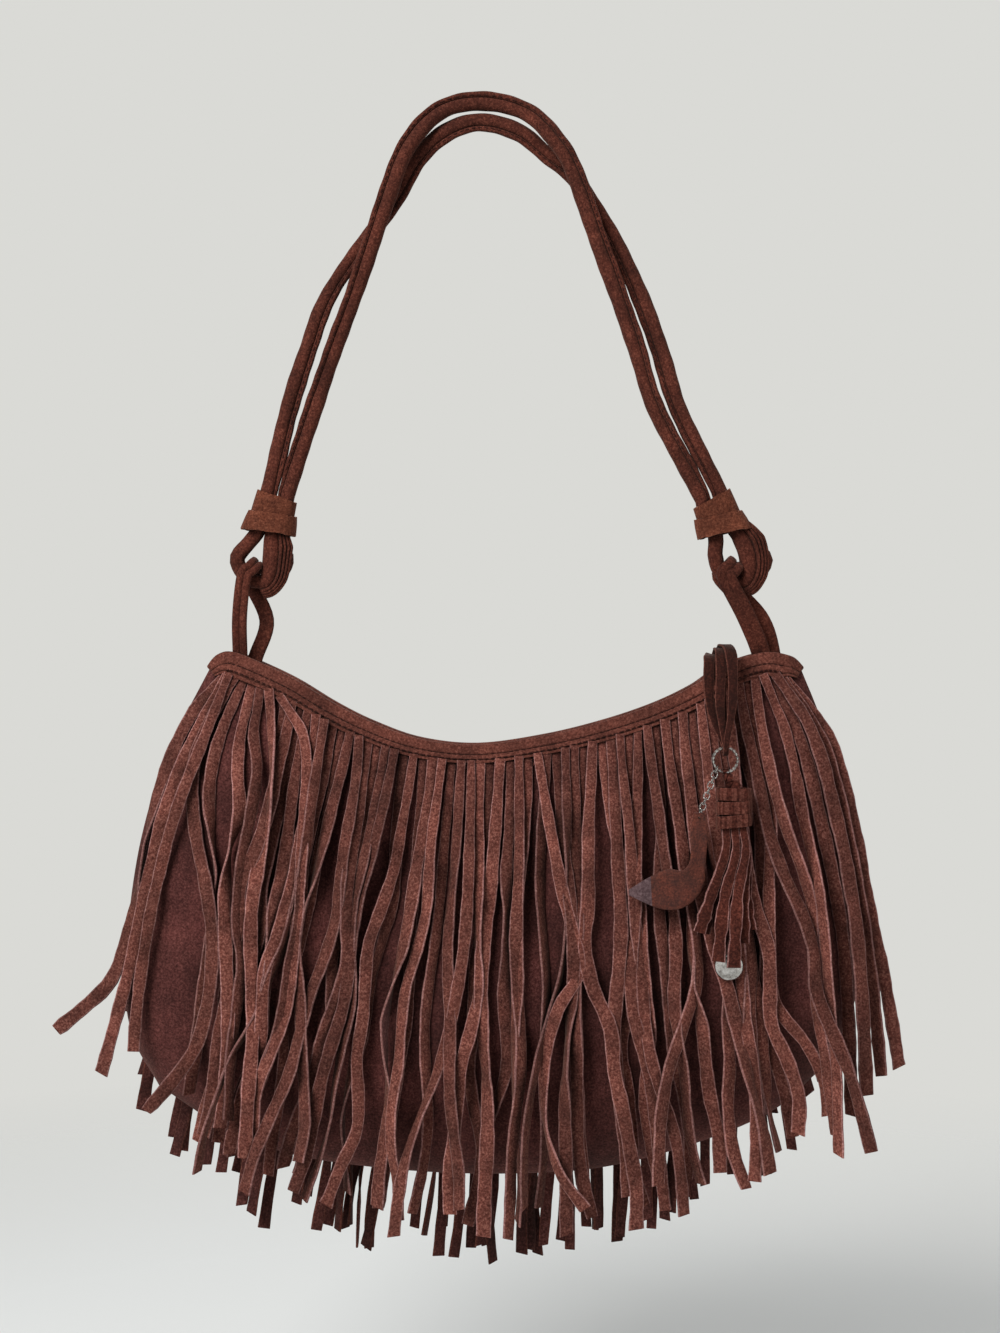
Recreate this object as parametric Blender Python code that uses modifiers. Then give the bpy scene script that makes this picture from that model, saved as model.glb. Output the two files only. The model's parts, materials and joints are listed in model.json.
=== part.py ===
"""Fringed suede shoulder bag: a zipped pouch with a front and a back fringe, hung by
two sewn loops from a doubled cord strap, with a tassel, chain, tag and disc on the zip.

Metres, +Z up, +X to the right and +Y to the back. The origin lies under the strap's
top, where a hook carries it.
"""

import math

import bmesh
import bpy
from mathutils import Matrix, Vector

MM = 0.001

# Gaps between pieces
GAP = 0.3 * MM
DRAPE_GAP = 1.1 * MM

# Suede, lining and binding thickness
PANEL_WALL = 1.6 * MM
FRINGE_WALL = 1.3 * MM
LINING_WALL = 0.6 * MM
BINDING_WALL = 1.2 * MM

# Pouch depth
SEAM_HALF = 0.15 * MM
CORNER_HALF = 1.9 * MM
MOUTH_HALF = 7.0 * MM
BULGE_HALF = 27.0 * MM
EDGE_FULLNESS = 0.25
PANEL_COLUMNS = 20
PANEL_ROWS = 9

# Rim binding
BINDING_MIDDLE_HEIGHT = 6.5 * MM
BINDING_END_HEIGHT = 10.5 * MM
BINDING_INNER_HEIGHT = 4.0 * MM
BINDING_HEAD = 1.5 * MM
BINDING_TOP = 2.7 * MM
BINDING_ROUND = 0.8 * MM
RIM_STATIONS = 24

# Lining
LINING_DROP = 18.0 * MM
LINING_INSET = 0.05
LINING_GAP = 0.7 * MM
LINING_COLUMNS = 12
LINING_ROWS = 6

# Fringes
HEADER_HEIGHT = 20.0 * MM
SLIT = 0.5 * MM
FRONT_STRANDS = 54
BACK_STRANDS = 38
FRONT_STEPS = 5
BACK_STEPS = 4
LAYER_STEP = 1.2 * MM
BACK_DROP = 21.0 * MM

# Zip
ZIP_RADIUS = 216.0 * MM
ZIP_CENTRE = Vector((8.8 * MM, 0.0, -107.0 * MM))
ZIP_START_X = -80.0 * MM
ZIP_END_X = 134.0 * MM
ZIP_STATIONS = 24
TOOTH_INNER = 2.3 * MM
TOOTH_OUTER = 3.7 * MM
TOOTH_HALF_HEIGHT = 1.2 * MM
TAPE_HALF = 0.3 * MM
TAPE_EDGE_GAP = 1.3 * MM
SLIDER_X = 128.0 * MM
SLIDER_LENGTH = 9.0 * MM
SLIDER_HALF_WIDTH = 5.4 * MM
SLIDER_PLATE = 1.0 * MM
SLIDER_LIP = 0.8 * MM
SLIDER_RUN = 0.4 * MM
BAIL_LENGTH = 5.0 * MM
BAIL_WIDTH = 2.6 * MM
BAIL_HEIGHT = 4.2 * MM
BAIL_HOLE_RADIUS = 1.15 * MM
PULLER_WIRE = 0.75 * MM
PULLER_LENGTH = 16.5 * MM
PULLER_HALF_WIDTH = 3.4 * MM
PULLER_ANGLE = math.radians(118.0)
LACE_SEAT = 0.78

# Shoulder strap
STRAP_RADIUS = 4.5 * MM
STRAP_PITCH = 9.3 * MM
STRAP_SPACING = 17.0 * MM
BEND_SPACING = 5.0 * MM
LINK_Z = -230.0 * MM
LINK_RADIUS = 12.0 * MM
LEFT_LINK_X = -111.2 * MM
RIGHT_LINK_X = 132.6 * MM
WRAP_RISE = 32.0 * MM
WRAP_BORE_GAP = 0.5 * MM
WRAP_WALL = 1.9 * MM
WRAP_LENGTH = 19.0 * MM
WRAP_FLARE = 2.2 * MM
LEFT_TILT = math.radians(14.0)
RIGHT_TILT = math.radians(-21.0)
LEFT_SHIFT = 0.0 * MM
RIGHT_SHIFT = -3.0 * MM
BEND_SHOULDER = 3.2 * MM

# Sewn loops: angle on the bend from its lowest point, x of each leg where it is sewn and half way
LOOP_ANGLE = math.radians(38.0)
LOOP_Z = LINK_Z + LINK_RADIUS * (1 - math.cos(LOOP_ANGLE))
LOOP_THICK = 3.2 * MM
LOOP_CLEARANCE = 2.5 * MM
LOOP_SEWN_THICK = 2.8 * MM
LOOP_SEWN_DEPTH = 12.0 * MM
LEFT_LOOP_WIDTH = 7.5 * MM
RIGHT_LOOP_WIDTH = 9.5 * MM
LEFT_LOOP_LEGS = ((-121.9 * MM, -121.8 * MM), (-115.3 * MM, -109.5 * MM))
RIGHT_LOOP_LEGS = ((142.8 * MM, 135.0 * MM), (148.9 * MM, 143.0 * MM))

# Hanging charms
CHARM_CLEARANCE = 19.0 * MM
CHARM_Y = -(BULGE_HALF + CHARM_CLEARANCE)
RING_CENTRE_X = 119.6 * MM
RING_CENTRE_Z = -319.0 * MM
RING_RADIUS = 6.0 * MM
RING_WIRE = 0.8 * MM
LACE_WIDTH = 5.2 * MM
LACE_RING_WIDTH = 2.6 * MM
LACE_THICK = 1.2 * MM
LACE_NEST = 1.75 * MM
LACE_SLACK = 0.45 * MM
LACE_CREST_Y = -11.0 * MM
LACE_CREST = 5.5 * MM
LACE_BEND_Y = -25.0 * MM
LACE_BEND = 1.5 * MM
LINK_WIRE = 0.4 * MM
CHAIN_LINK_LENGTH = 4.6 * MM
CHAIN_LINK_WIDTH = 3.8 * MM
CHAIN_LINKS = 8
CHAIN_START_ANGLE = math.radians(225.0)
CHAIN_END = Vector((106.8 * MM, 0.0, -346.5 * MM))
HOOK_RADIUS = 2.6 * MM
HOOK_WIRE = 0.45 * MM
TASSEL_X = 123.8 * MM
BAND_TOP = -332.0 * MM
BAND_HEIGHT = 20.0 * MM
BAND_HALF_WIDTH = 8.8 * MM
BAND_SWELL = 0.3 * MM
BAND_HALF_DEPTH = 5.6 * MM
BAND_WALL = 1.4 * MM
HEAD_RING_WIDTH = 3.0 * MM
HEAD_BAND_WIDTH = 9.0 * MM
STRIP_WIDTH = 3.7 * MM
STRIP_THICK = 1.3 * MM
STRIP_PITCH_X = 4.1 * MM
STRIP_PITCH_Y = 2.1 * MM
EYE_RADIUS = 1.1 * MM
EYE_RISE = 2.4 * MM
DISC_RADIUS = 7.0 * MM
DISC_DISH = 1.6 * MM
DISC_WALL = 0.9 * MM
DISC_HOLE_RADIUS = 0.85 * MM
DISC_HOLE_INSET = 1.9 * MM
TAG_WALL = 1.4 * MM
TAG_HOLE_RADIUS = 1.3 * MM
JUMP_RADIUS = 2.9 * MM
JUMP_WIRE = 0.35 * MM

# Outlines as seen from the front, in millimetres: x, z
RIM = [
    (-137.2, -274.9), (-132.0, -270.4), (-125.5, -268.8), (-112.2, -273.9), (-94.4, -282.5),
    (-75.0, -294.3), (-55.6, -304.0), (-31.1, -312.6), (-1.0, -315.7), (33.7, -311.0),
    (64.3, -303.5), (89.8, -294.8), (109.1, -285.6), (124.0, -275.8), (142.8, -269.3),
    (156.0, -270.8), (163.2, -275.4),
]
LEFT_SIDE = [
    (-137.2, -274.9), (-150.5, -300.0), (-160.7, -321.3), (-173.4, -367.2),
    (-179.5, -418.2), (-177.5, -459.0), (-163.2, -487.0),
]
BOTTOM = [
    (-163.2, -487.0), (-127.5, -510.0), (-91.8, -522.8), (-40.8, -529.4), (10.2, -531.4),
    (61.2, -528.4), (107.1, -517.1), (147.9, -500.3), (172.0, -480.0),
]
RIGHT_SIDE = [
    (163.2, -275.4), (173.4, -300.9), (186.2, -341.7), (193.8, -392.7), (192.8, -433.5),
    (184.0, -462.0), (172.0, -480.0),
]

# Strand ends of the front fringe along the header, in millimetres: share, x, z
FRONT_ENDS = [
    (0.0, -206.0, -450.0), (0.02, -192.0, -474.0), (0.05, -175.0, -470.0),
    (0.09, -158.0, -488.0), (0.2, -122.0, -508.0), (0.35, -66.0, -524.0),
    (0.5, 2.0, -535.0), (0.65, 70.0, -531.0), (0.8, 126.0, -514.0), (0.9, 165.0, -497.0),
    (0.96, 188.0, -482.0), (1.0, 206.0, -473.0),
]

# Tag's outline from its hole, in millimetres: x, z
TAG = [
    (4.2, -2.0), (4.4, -10.0), (3.4, -20.0), (1.8, -27.0), (2.2, -33.0), (0.6, -39.0),
    (-6.0, -43.2), (-15.0, -44.4), (-25.0, -42.0), (-32.0, -36.5), (-27.0, -30.0),
    (-17.0, -26.4), (-8.0, -25.6), (-4.6, -20.0), (-4.6, -10.0), (-4.2, -2.0),
    (-2.4, 2.1), (0.0, 2.8), (2.4, 2.1),
]

# Lower ends of the tassel's strips by column and row, in millimetres: x, z
STRIP_ENDS = {
    (-1, -1): (106.5, -400.0), (0, -1): (114.0, -410.0), (1, -1): (124.0, -411.0),
    (-1, 0): (109.0, -403.0), (0, 0): (117.5, -413.0), (1, 0): (128.5, -408.0),
    (-1, 1): (112.5, -398.0), (0, 1): (122.0, -411.5), (1, 1): (132.0, -402.0),
}

# Strap strands from the left wrap over the top to the right wrap: x, y, z
FRONT_STRAND = [
    (-84.5, -1.0, -142.8), (-74.0, -2.5, -112.2), (-62.5, -4.2, -81.6), (-47.6, -5.2, -38.3),
    (-37.0, -5.0, -10.5), (-20.0, -2.4, 8.8), (2.0, -0.6, 14.0), (24.5, -2.4, 7.6),
    (40.0, -5.0, -9.0), (48.0, -5.2, -24.0), (59.5, -4.8, -57.0), (69.5, -3.8, -84.0),
    (79.5, -2.4, -112.2), (89.5, -1.0, -142.8),
]
BACK_STRAND = [
    (-98.0, 1.0, -142.8), (-88.5, 2.5, -112.2), (-76.5, 4.2, -81.6), (-46.4, 5.2, -38.3),
    (-32.6, 5.0, -14.0), (-18.0, 2.4, -0.6), (0.0, 0.6, 4.5), (20.0, 2.4, -0.4),
    (35.0, 5.0, -12.0), (49.0, 5.2, -24.0), (67.0, 4.8, -52.0), (81.5, 3.8, -82.0),
    (92.5, 2.4, -112.2), (101.8, 1.0, -142.8),
]

# Colours: sRGB, roughness, metallic
SUEDE = ((90, 50, 42), 0.95, 0.0)
SUEDE_DARK = ((66, 34, 30), 0.95, 0.0)
SUEDE_TAN = ((116, 66, 48), 0.92, 0.0)
CLOTH = ((46, 34, 32), 0.9, 0.0)
TAPE = ((38, 26, 24), 0.85, 0.0)
DARK_METAL = ((30, 28, 28), 0.25, 1.0)
BRIGHT_METAL = ((190, 190, 188), 0.22, 1.0)


def linear(channel):
    value = channel / 255
    if value <= 0.04045:
        return value / 12.92
    return ((value + 0.055) / 1.055) ** 2.4


def finish(name, look):
    colour, roughness, metallic = look
    material = bpy.data.materials.new(name + "_finish")
    material.use_nodes = True
    shader = material.node_tree.nodes["Principled BSDF"]
    shader.inputs["Base Color"].default_value = [linear(c) for c in colour] + [1.0]
    shader.inputs["Roughness"].default_value = roughness
    shader.inputs["Metallic"].default_value = metallic
    return material


def add_object(name, mesh, look, pivot=None, smooth_angle=40.0):
    """Link a mesh under its own name, with its origin at pivot."""
    origin = Vector(pivot) if pivot is not None else Vector((0.0, 0.0, 0.0))
    mesh.transform(Matrix.Translation(-origin))
    mesh.materials.append(finish(name, look))
    mesh.shade_smooth()
    mesh.set_sharp_from_angle(angle=math.radians(smooth_angle))
    item = bpy.data.objects.new(name, mesh)
    item.location = origin
    parts.objects.link(item)
    return item


def add_cutter(name, mesh):
    item = bpy.data.objects.new(name, mesh)
    item.hide_render = True
    item.display_type = "WIRE"
    cutters.objects.link(item)
    return item


def boolean(item, other, operation):
    modifier = item.modifiers.new(other.name, "BOOLEAN")
    modifier.operation = operation
    modifier.object = other


def drill(item, name, centre, radius, depth):
    """Round hole through a piece, along Y."""
    bm = bmesh.new()
    bmesh.ops.create_cone(bm, cap_ends=True, segments=12, radius1=radius, radius2=radius, depth=depth)
    spin = Matrix.Translation(centre) @ Matrix.Rotation(math.pi / 2, 4, "X")
    bmesh.ops.transform(bm, matrix=spin, verts=bm.verts)
    mesh = bpy.data.meshes.new(name)
    bm.to_mesh(mesh)
    bm.free()
    boolean(item, add_cutter(name, mesh), "DIFFERENCE")


def sweep_mesh(name, rings, cyclic=False):
    """Loft between rings of equal count, closed by caps or onto its own start."""
    bm = bmesh.new()
    loops = [[bm.verts.new(point) for point in ring] for ring in rings]
    count = len(rings[0])
    pairs = list(zip(loops, loops[1:]))
    if cyclic:
        pairs.append((loops[-1], loops[0]))
    for first, second in pairs:
        for i in range(count):
            j = (i + 1) % count
            bm.faces.new((first[i], first[j], second[j], second[i]))
    if not cyclic:
        bm.faces.new(loops[0])
        bm.faces.new(list(reversed(loops[-1])))
    bmesh.ops.recalc_face_normals(bm, faces=bm.faces)
    mesh = bpy.data.meshes.new(name)
    bm.to_mesh(mesh)
    bm.free()
    return mesh


def catmull(points, t):
    """Point on the smooth curve through the points, t from 0 to 1."""
    spans = len(points) - 1
    place = min(max(t, 0.0), 1.0) * spans
    i = min(int(place), spans - 1)
    f = place - i
    p1, p2 = points[i], points[i + 1]
    p0 = points[i - 1] if i > 0 else p1 * 2 - p2
    p3 = points[i + 2] if i + 2 <= spans else p2 * 2 - p1
    return 0.5 * (
        2 * p1 + (p2 - p0) * f + (2 * p0 - 5 * p1 + 4 * p2 - p3) * f * f
        + (3 * p1 - p0 - 3 * p2 + p3) * f * f * f
    )


def even_points(points, count, closed=False):
    """The smooth curve through the points, resampled at even distances."""
    fine = [catmull(points, i / (len(points) * 12)) for i in range(len(points) * 12 + 1)]
    lengths = [0.0]
    for a, b in zip(fine, fine[1:]):
        lengths.append(lengths[-1] + (b - a).length)
    result = []
    steps = count if closed else count - 1
    place = 0
    for k in range(count):
        target = lengths[-1] * k / steps
        while place < len(fine) - 2 and lengths[place + 1] < target:
            place += 1
        span = max(lengths[place + 1] - lengths[place], 1e-9)
        result.append(fine[place].lerp(fine[place + 1], (target - lengths[place]) / span))
    return result


def flat(points):
    return [Vector((x * MM, 0.0, z * MM)) for x, z in points]


RIM_CURVE = even_points(flat(RIM), 201)
LEFT_CURVE = even_points(flat(LEFT_SIDE), 101)
RIGHT_CURVE = even_points(flat(RIGHT_SIDE), 101)
BOTTOM_CURVE = even_points(flat(BOTTOM), 201)


def along(curve, t):
    place = min(max(t, 0.0), 1.0) * (len(curve) - 1)
    i = min(int(place), len(curve) - 2)
    return curve[i].lerp(curve[i + 1], place - i)


def interpolate(pairs, value):
    """Linear value between sorted (key, value) pairs, held past the ends."""
    if value <= pairs[0][0]:
        return pairs[0][1]
    for (k0, v0), (k1, v1) in zip(pairs, pairs[1:]):
        if value <= k1:
            return v0 + (v1 - v0) * (value - k0) / max(k1 - k0, 1e-9)
    return pairs[-1][1]


def sorted_pairs(points, key, value):
    return sorted((getattr(p, key), getattr(p, value)) for p in points)


TOP_BY_X = sorted_pairs(list(reversed(LEFT_CURVE)) + RIM_CURVE + RIGHT_CURVE, "x", "z")
BOTTOM_BY_X = sorted_pairs(
    LEFT_CURVE[60:] + BOTTOM_CURVE + RIGHT_CURVE[60:], "x", "z"
)
LEFT_BY_Z = sorted_pairs(LEFT_CURVE + BOTTOM_CURVE[:60], "z", "x")
RIGHT_BY_Z = sorted_pairs(RIGHT_CURVE + BOTTOM_CURVE[140:], "z", "x")


def pouch_half(x, z):
    """Half of the space between the two panels at a place seen from the front."""
    left = interpolate(LEFT_BY_Z, z)
    right = interpolate(RIGHT_BY_Z, z)
    top = interpolate(TOP_BY_X, x)
    bottom = interpolate(BOTTOM_BY_X, x)
    u = min(max((x - left) / (right - left), 0.0), 1.0)
    v = min(max((top - z) / max(top - bottom, 1e-6), 0.0), 1.0)
    fullness = (4 * u * (1 - u)) ** EDGE_FULLNESS
    belly = v ** 0.9 * (1 - v) ** 0.5 / 0.4015
    return (
        SEAM_HALF + CORNER_HALF * (1 - v) ** 3
        + fullness * (MOUTH_HALF * (1 - v) + BULGE_HALF * belly)
    )


def wall_reach(x, z):
    """How far a panel's wall reaches along Y where it slopes."""
    step = 2 * MM
    centre = pouch_half(x, z)
    slope_x = (pouch_half(x + step, z) - centre) / step
    slope_z = (pouch_half(x, z - step) - centre) / step
    return PANEL_WALL * min(math.sqrt(1 + slope_x ** 2 + slope_z ** 2), 2.2)


def panel_place(u, v):
    """Place in the pouch's outline: u across from the left, v down from the rim."""
    top, bottom = along(RIM_CURVE, u), along(BOTTOM_CURVE, u)
    left, right = along(LEFT_CURVE, v), along(RIGHT_CURVE, v)
    corners = (
        RIM_CURVE[0] * (1 - u) * (1 - v) + RIM_CURVE[-1] * u * (1 - v)
        + BOTTOM_CURVE[0] * (1 - u) * v + BOTTOM_CURVE[-1] * u * v
    )
    return top * (1 - v) + bottom * v + left * (1 - u) + right * u - corners


def ease(t, power=1.6):
    """Share from 0 to 1 that crowds towards both ends."""
    if t < 0.5:
        return 0.5 * (2 * t) ** power
    return 1 - 0.5 * (2 - 2 * t) ** power


def panel(name, side):
    bm = bmesh.new()
    grid = []
    for j in range(PANEL_ROWS + 1):
        v = 1 - (1 - j / PANEL_ROWS) ** 1.4
        row = []
        for i in range(PANEL_COLUMNS + 1):
            place = panel_place(ease(i / PANEL_COLUMNS), v)
            row.append(bm.verts.new((place.x, side * pouch_half(place.x, place.z), place.z)))
        grid.append(row)
    for j in range(PANEL_ROWS):
        for i in range(PANEL_COLUMNS):
            quad = (grid[j][i], grid[j + 1][i], grid[j + 1][i + 1], grid[j][i + 1])
            bm.faces.new(quad if side < 0 else tuple(reversed(quad)))
    mesh = bpy.data.meshes.new(name)
    bm.to_mesh(mesh)
    bm.free()
    item = add_object(name, mesh, SUEDE if side < 0 else SUEDE_DARK)
    solidify = item.modifiers.new("wall", "SOLIDIFY")
    solidify.thickness = PANEL_WALL
    solidify.offset = 1.0
    return item


def lining():
    """One cloth pouch inside both panels, open at the mouth."""
    bm = bmesh.new()
    sheets = []
    for side in (-1, 1):
        grid = []
        for j in range(LINING_ROWS + 1):
            row = []
            for i in range(LINING_COLUMNS + 1):
                u = LINING_INSET + (1 - 2 * LINING_INSET) * ease(i / LINING_COLUMNS, 1.3)
                v = (j / LINING_ROWS) * (1 - LINING_INSET)
                place = panel_place(u, v)
                top = panel_place(u, 0.0)
                drop = LINING_DROP * (1 - j / LINING_ROWS)
                if j == 0 or top.z - place.z < drop:
                    place = Vector((place.x, 0.0, min(place.z, top.z - drop)))
                half = pouch_half(place.x, place.z) - LINING_GAP - LINING_WALL
                edge = i in (0, LINING_COLUMNS) or j == LINING_ROWS
                depth = 0.0 if edge else max(half, LINING_WALL)
                if edge and side > 0:
                    row.append(sheets[0][j][i])
                else:
                    row.append(bm.verts.new((place.x, side * depth, place.z)))
            grid.append(row)
        sheets.append(grid)
    for side, grid in zip((-1, 1), sheets):
        for j in range(LINING_ROWS):
            for i in range(LINING_COLUMNS):
                quad = (grid[j][i], grid[j + 1][i], grid[j + 1][i + 1], grid[j][i + 1])
                bm.faces.new(quad if side < 0 else tuple(reversed(quad)))
    mesh = bpy.data.meshes.new("lining")
    bm.to_mesh(mesh)
    bm.free()
    item = add_object("lining", mesh, CLOTH)
    solidify = item.modifiers.new("wall", "SOLIDIFY")
    solidify.thickness = LINING_WALL
    solidify.offset = -1.0
    return item


def rim_frame(t):
    """Place, direction and upward normal on the rim."""
    place = along(RIM_CURVE, t)
    direction = (along(RIM_CURVE, t + 0.01) - along(RIM_CURVE, t - 0.01)).normalized()
    return place, direction, Vector((-direction.z, 0.0, direction.x))


def binding_height(t):
    """Height of the binding's outer side: low in the middle, tall at the peaks."""
    return BINDING_MIDDLE_HEIGHT + (BINDING_END_HEIGHT - BINDING_MIDDLE_HEIGHT) * (2 * t - 1) ** 2


def rim(name, side):
    """Suede binding folded over the mouth's edge, with the fringe's header under it."""
    rings = []
    header = PANEL_WALL + GAP + FRINGE_WALL + GAP
    for k in range(RIM_STATIONS + 1):
        t = ease(k / RIM_STATIONS, 1.3)
        place, _, normal = rim_frame(t)
        height = binding_height(t)
        half = pouch_half(place.x, place.z)
        low = place - normal * height
        low_half = pouch_half(low.x, low.z) + wall_reach(low.x, low.z)
        low_half += header - PANEL_WALL + 2 * GAP
        outside = half + header + BINDING_WALL
        inside = half - GAP - BINDING_WALL
        section = [
            (low_half + BINDING_WALL, -height), (outside, BINDING_TOP - BINDING_ROUND),
            (outside - BINDING_ROUND, BINDING_TOP), (inside + BINDING_ROUND, BINDING_TOP),
            (inside, BINDING_TOP - BINDING_ROUND), (inside, -BINDING_INNER_HEIGHT),
            (inside + BINDING_WALL, -BINDING_INNER_HEIGHT), (inside + BINDING_WALL, BINDING_HEAD),
            (half + header, BINDING_HEAD), (low_half, -height),
        ]
        rings.append([place + normal * n + Vector((0.0, side * y, 0.0)) for y, n in section])
    return add_object(name, sweep_mesh(name, rings), SUEDE if side < 0 else SUEDE_DARK)


def strand_y(places, previous, layer):
    """Distance from the middle at which a strand lies on the pouch or hangs off it."""
    reach = max(pouch_half(x, z) + wall_reach(x, z) for x, z in places)
    return max(reach + DRAPE_GAP + FRINGE_WALL / 2 + layer, previous - 0.3 * MM)


def fringe(name, side, strands, steps, ends, look):
    """A slit sheet: an uncut header under the rim, and strands that hang from it."""
    bm = bmesh.new()
    offset = PANEL_WALL + GAP + FRINGE_WALL / 2
    top_row, slit_row, faces = [], [], []
    margin = 0.022
    for k in range(strands):
        for edge in (0, 1):
            shift = SLIT / 2 if edge == 0 else -SLIT / 2
            t = margin + (1 - 2 * margin) * (k + edge) / strands
            place, direction, normal = rim_frame(t)
            place = place + direction * shift
            y = pouch_half(place.x, place.z) + offset
            top_row.append(bm.verts.new((place.x, side * y, place.z)))
            low = place - normal * HEADER_HEIGHT
            reach = max(wall_reach(low.x, low.z), PANEL_WALL)
            y = pouch_half(low.x, low.z) + reach + GAP + FRINGE_WALL
            slit_row.append((low, y))
    slit_verts = [bm.verts.new((p.x, side * y, p.z)) for p, y in slit_row]
    mid_row = []
    for k, (low, y) in enumerate(slit_row):
        top = top_row[k].co
        middle = Vector((top.x, 0.0, top.z)).lerp(Vector((low.x, 0.0, low.z)), 0.62)
        depth = pouch_half(middle.x, middle.z) + wall_reach(middle.x, middle.z)
        depth += GAP + FRINGE_WALL / 2
        mid_row.append(bm.verts.new((middle.x, side * depth, middle.z)))
    for upper, lower in ((top_row, mid_row), (mid_row, slit_verts)):
        for k in range(2 * strands - 1):
            faces.append((upper[k], lower[k], lower[k + 1], upper[k + 1]))
    for k in range(strands):
        left, right = slit_row[2 * k], slit_row[2 * k + 1]
        middle = (left[0] + right[0]) / 2
        width = (right[0] - left[0]).length
        share = (k + 0.5) / strands
        end = ends(share, k)
        layer = LAYER_STEP * ((k * 2) % 3)
        previous = (left[1] + right[1]) / 2
        upper = (slit_verts[2 * k], slit_verts[2 * k + 1])
        for step in range(1, steps + 1):
            s = step / steps
            places = []
            for part in (-0.66, -0.33, 0.0, 0.33, 0.66):
                t = min(s + part / steps, 1.0)
                places.append((middle.x + (end.x - middle.x) * t ** 1.15,
                               middle.z + (end.z - middle.z) * t))
            x, z = places[2]
            previous = strand_y(places, previous, layer * min(s * 2.5, 1.0))
            half = Vector((width / 2 * 0.86, 0.0, 0.0))
            slant = 0.0012 * ((k * 7) % 5 - 2) if step == steps else 0.0
            a = bm.verts.new((x - half.x, side * previous, z + slant))
            b = bm.verts.new((x + half.x, side * previous, z - slant))
            faces.append((upper[0], a, b, upper[1]))
            upper = (a, b)
    for quad in faces:
        bm.faces.new(quad if side < 0 else tuple(reversed(quad)))
    mesh = bpy.data.meshes.new(name)
    bm.to_mesh(mesh)
    bm.free()
    item = add_object(name, mesh, look)
    solidify = item.modifiers.new("wall", "SOLIDIFY")
    solidify.thickness = FRINGE_WALL
    solidify.offset = 0.0
    return item


def front_end(share, k):
    x = interpolate([(s, x) for s, x, _ in FRONT_ENDS], share) * MM
    z = interpolate([(s, z) for s, _, z in FRONT_ENDS], share) * MM
    return Vector((x, 0.0, z + 0.003 * ((k * 5) % 7 - 3) / 3))


def back_end(share, k):
    x = -0.180 + 0.362 * share
    z = interpolate(BOTTOM_BY_X, x) - BACK_DROP - 0.022 * (1 - abs(2 * share - 1))
    return Vector((x, 0.0, z + 0.003 * ((k * 3) % 5 - 2)))


def zip_frame(x):
    """Place on the zip's arc, its direction and the way to the arc's centre."""
    angle = math.asin((x - ZIP_CENTRE.x) / ZIP_RADIUS)
    inward = Vector((-math.sin(angle), 0.0, math.cos(angle)))
    place = ZIP_CENTRE - inward * ZIP_RADIUS
    return place, Vector((math.cos(angle), 0.0, math.sin(angle))), inward


def zip_rows():
    for side, word in ((-1, "front"), (1, "back")):
        teeth, tape = [], []
        for k in range(ZIP_STATIONS + 1):
            x = ZIP_START_X + (ZIP_END_X - ZIP_START_X) * k / ZIP_STATIONS
            place, _, inward = zip_frame(x)
            outer = pouch_half(place.x, place.z) - TAPE_EDGE_GAP

            def ring(y0, y1, half):
                corners = ((y0, -half), (y1, -half), (y1, half), (y0, half))
                return [place + inward * n + Vector((0.0, side * y, 0.0)) for y, n in corners]

            teeth.append(ring(TOOTH_INNER, TOOTH_OUTER, TOOTH_HALF_HEIGHT))
            tape.append(ring(TOOTH_OUTER + GAP, outer, TAPE_HALF))
        add_object(word + "_zip_teeth", sweep_mesh(word + "_zip_teeth", teeth), DARK_METAL)
        add_object(word + "_zip_tape", sweep_mesh(word + "_zip_tape", tape), TAPE)


def slider():
    """Zip slider: two plates on a post that runs between the tooth rows."""
    place, direction, inward = zip_frame(SLIDER_X)
    near = TOOTH_HALF_HEIGHT + SLIDER_RUN
    far = near + SLIDER_PLATE
    wide = SLIDER_HALF_WIDTH
    lip = wide - SLIDER_LIP
    low = near - SLIDER_LIP
    post = TOOTH_INNER - SLIDER_RUN
    quarter = [(wide, far), (wide, low), (lip, low), (lip, near), (post, near)]
    section = quarter + [(y, -n) for y, n in reversed(quarter)]
    section += [(-y, -n) for y, n in quarter] + [(-y, n) for y, n in reversed(quarter)]
    rings = []
    for end in (-0.5, 0.5):
        start = place + direction * end * SLIDER_LENGTH
        rings.append([start + inward * n + Vector((0.0, y, 0.0)) for y, n in section])
    item = add_object("zip_slider", sweep_mesh("zip_slider", rings), DARK_METAL, ZIP_CENTRE)
    turn = Matrix((direction, Vector((0.0, 1.0, 0.0)), inward)).transposed().to_4x4()
    bail_middle = place + inward * (far + BAIL_HEIGHT / 2 - 0.2 * MM)
    bm = bmesh.new()
    bmesh.ops.create_cube(bm, size=1.0)
    bmesh.ops.scale(bm, vec=(BAIL_LENGTH, BAIL_WIDTH, BAIL_HEIGHT), verts=bm.verts)
    bmesh.ops.transform(bm, matrix=Matrix.Translation(bail_middle) @ turn, verts=bm.verts)
    mesh = bpy.data.meshes.new("bail_block")
    bm.to_mesh(mesh)
    bm.free()
    boolean(item, add_cutter("bail_block", mesh), "UNION")
    hole = place + inward * (far + BAIL_HEIGHT * 0.46)
    drill(item, "bail_hole", hole, BAIL_HOLE_RADIUS, BAIL_WIDTH * 2)
    return hole


def ring_of(centre, across, upward, half_width, half_height, sides):
    ring = []
    for k in range(sides):
        angle = 2 * math.pi * k / sides
        ring.append(
            centre + across * half_width * math.cos(angle) + upward * half_height * math.sin(angle)
        )
    return ring


def closed_wire(name, points, radius, plane_normal, sides=6):
    """A wire bent to a closed outline that lies in one plane."""
    rings = []
    count = len(points)
    for k, point in enumerate(points):
        direction = (points[(k + 1) % count] - points[k - 1]).normalized()
        across = direction.cross(plane_normal)
        rings.append(ring_of(point, across, plane_normal, radius, radius, sides))
    return sweep_mesh(name, rings, cyclic=True)


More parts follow.
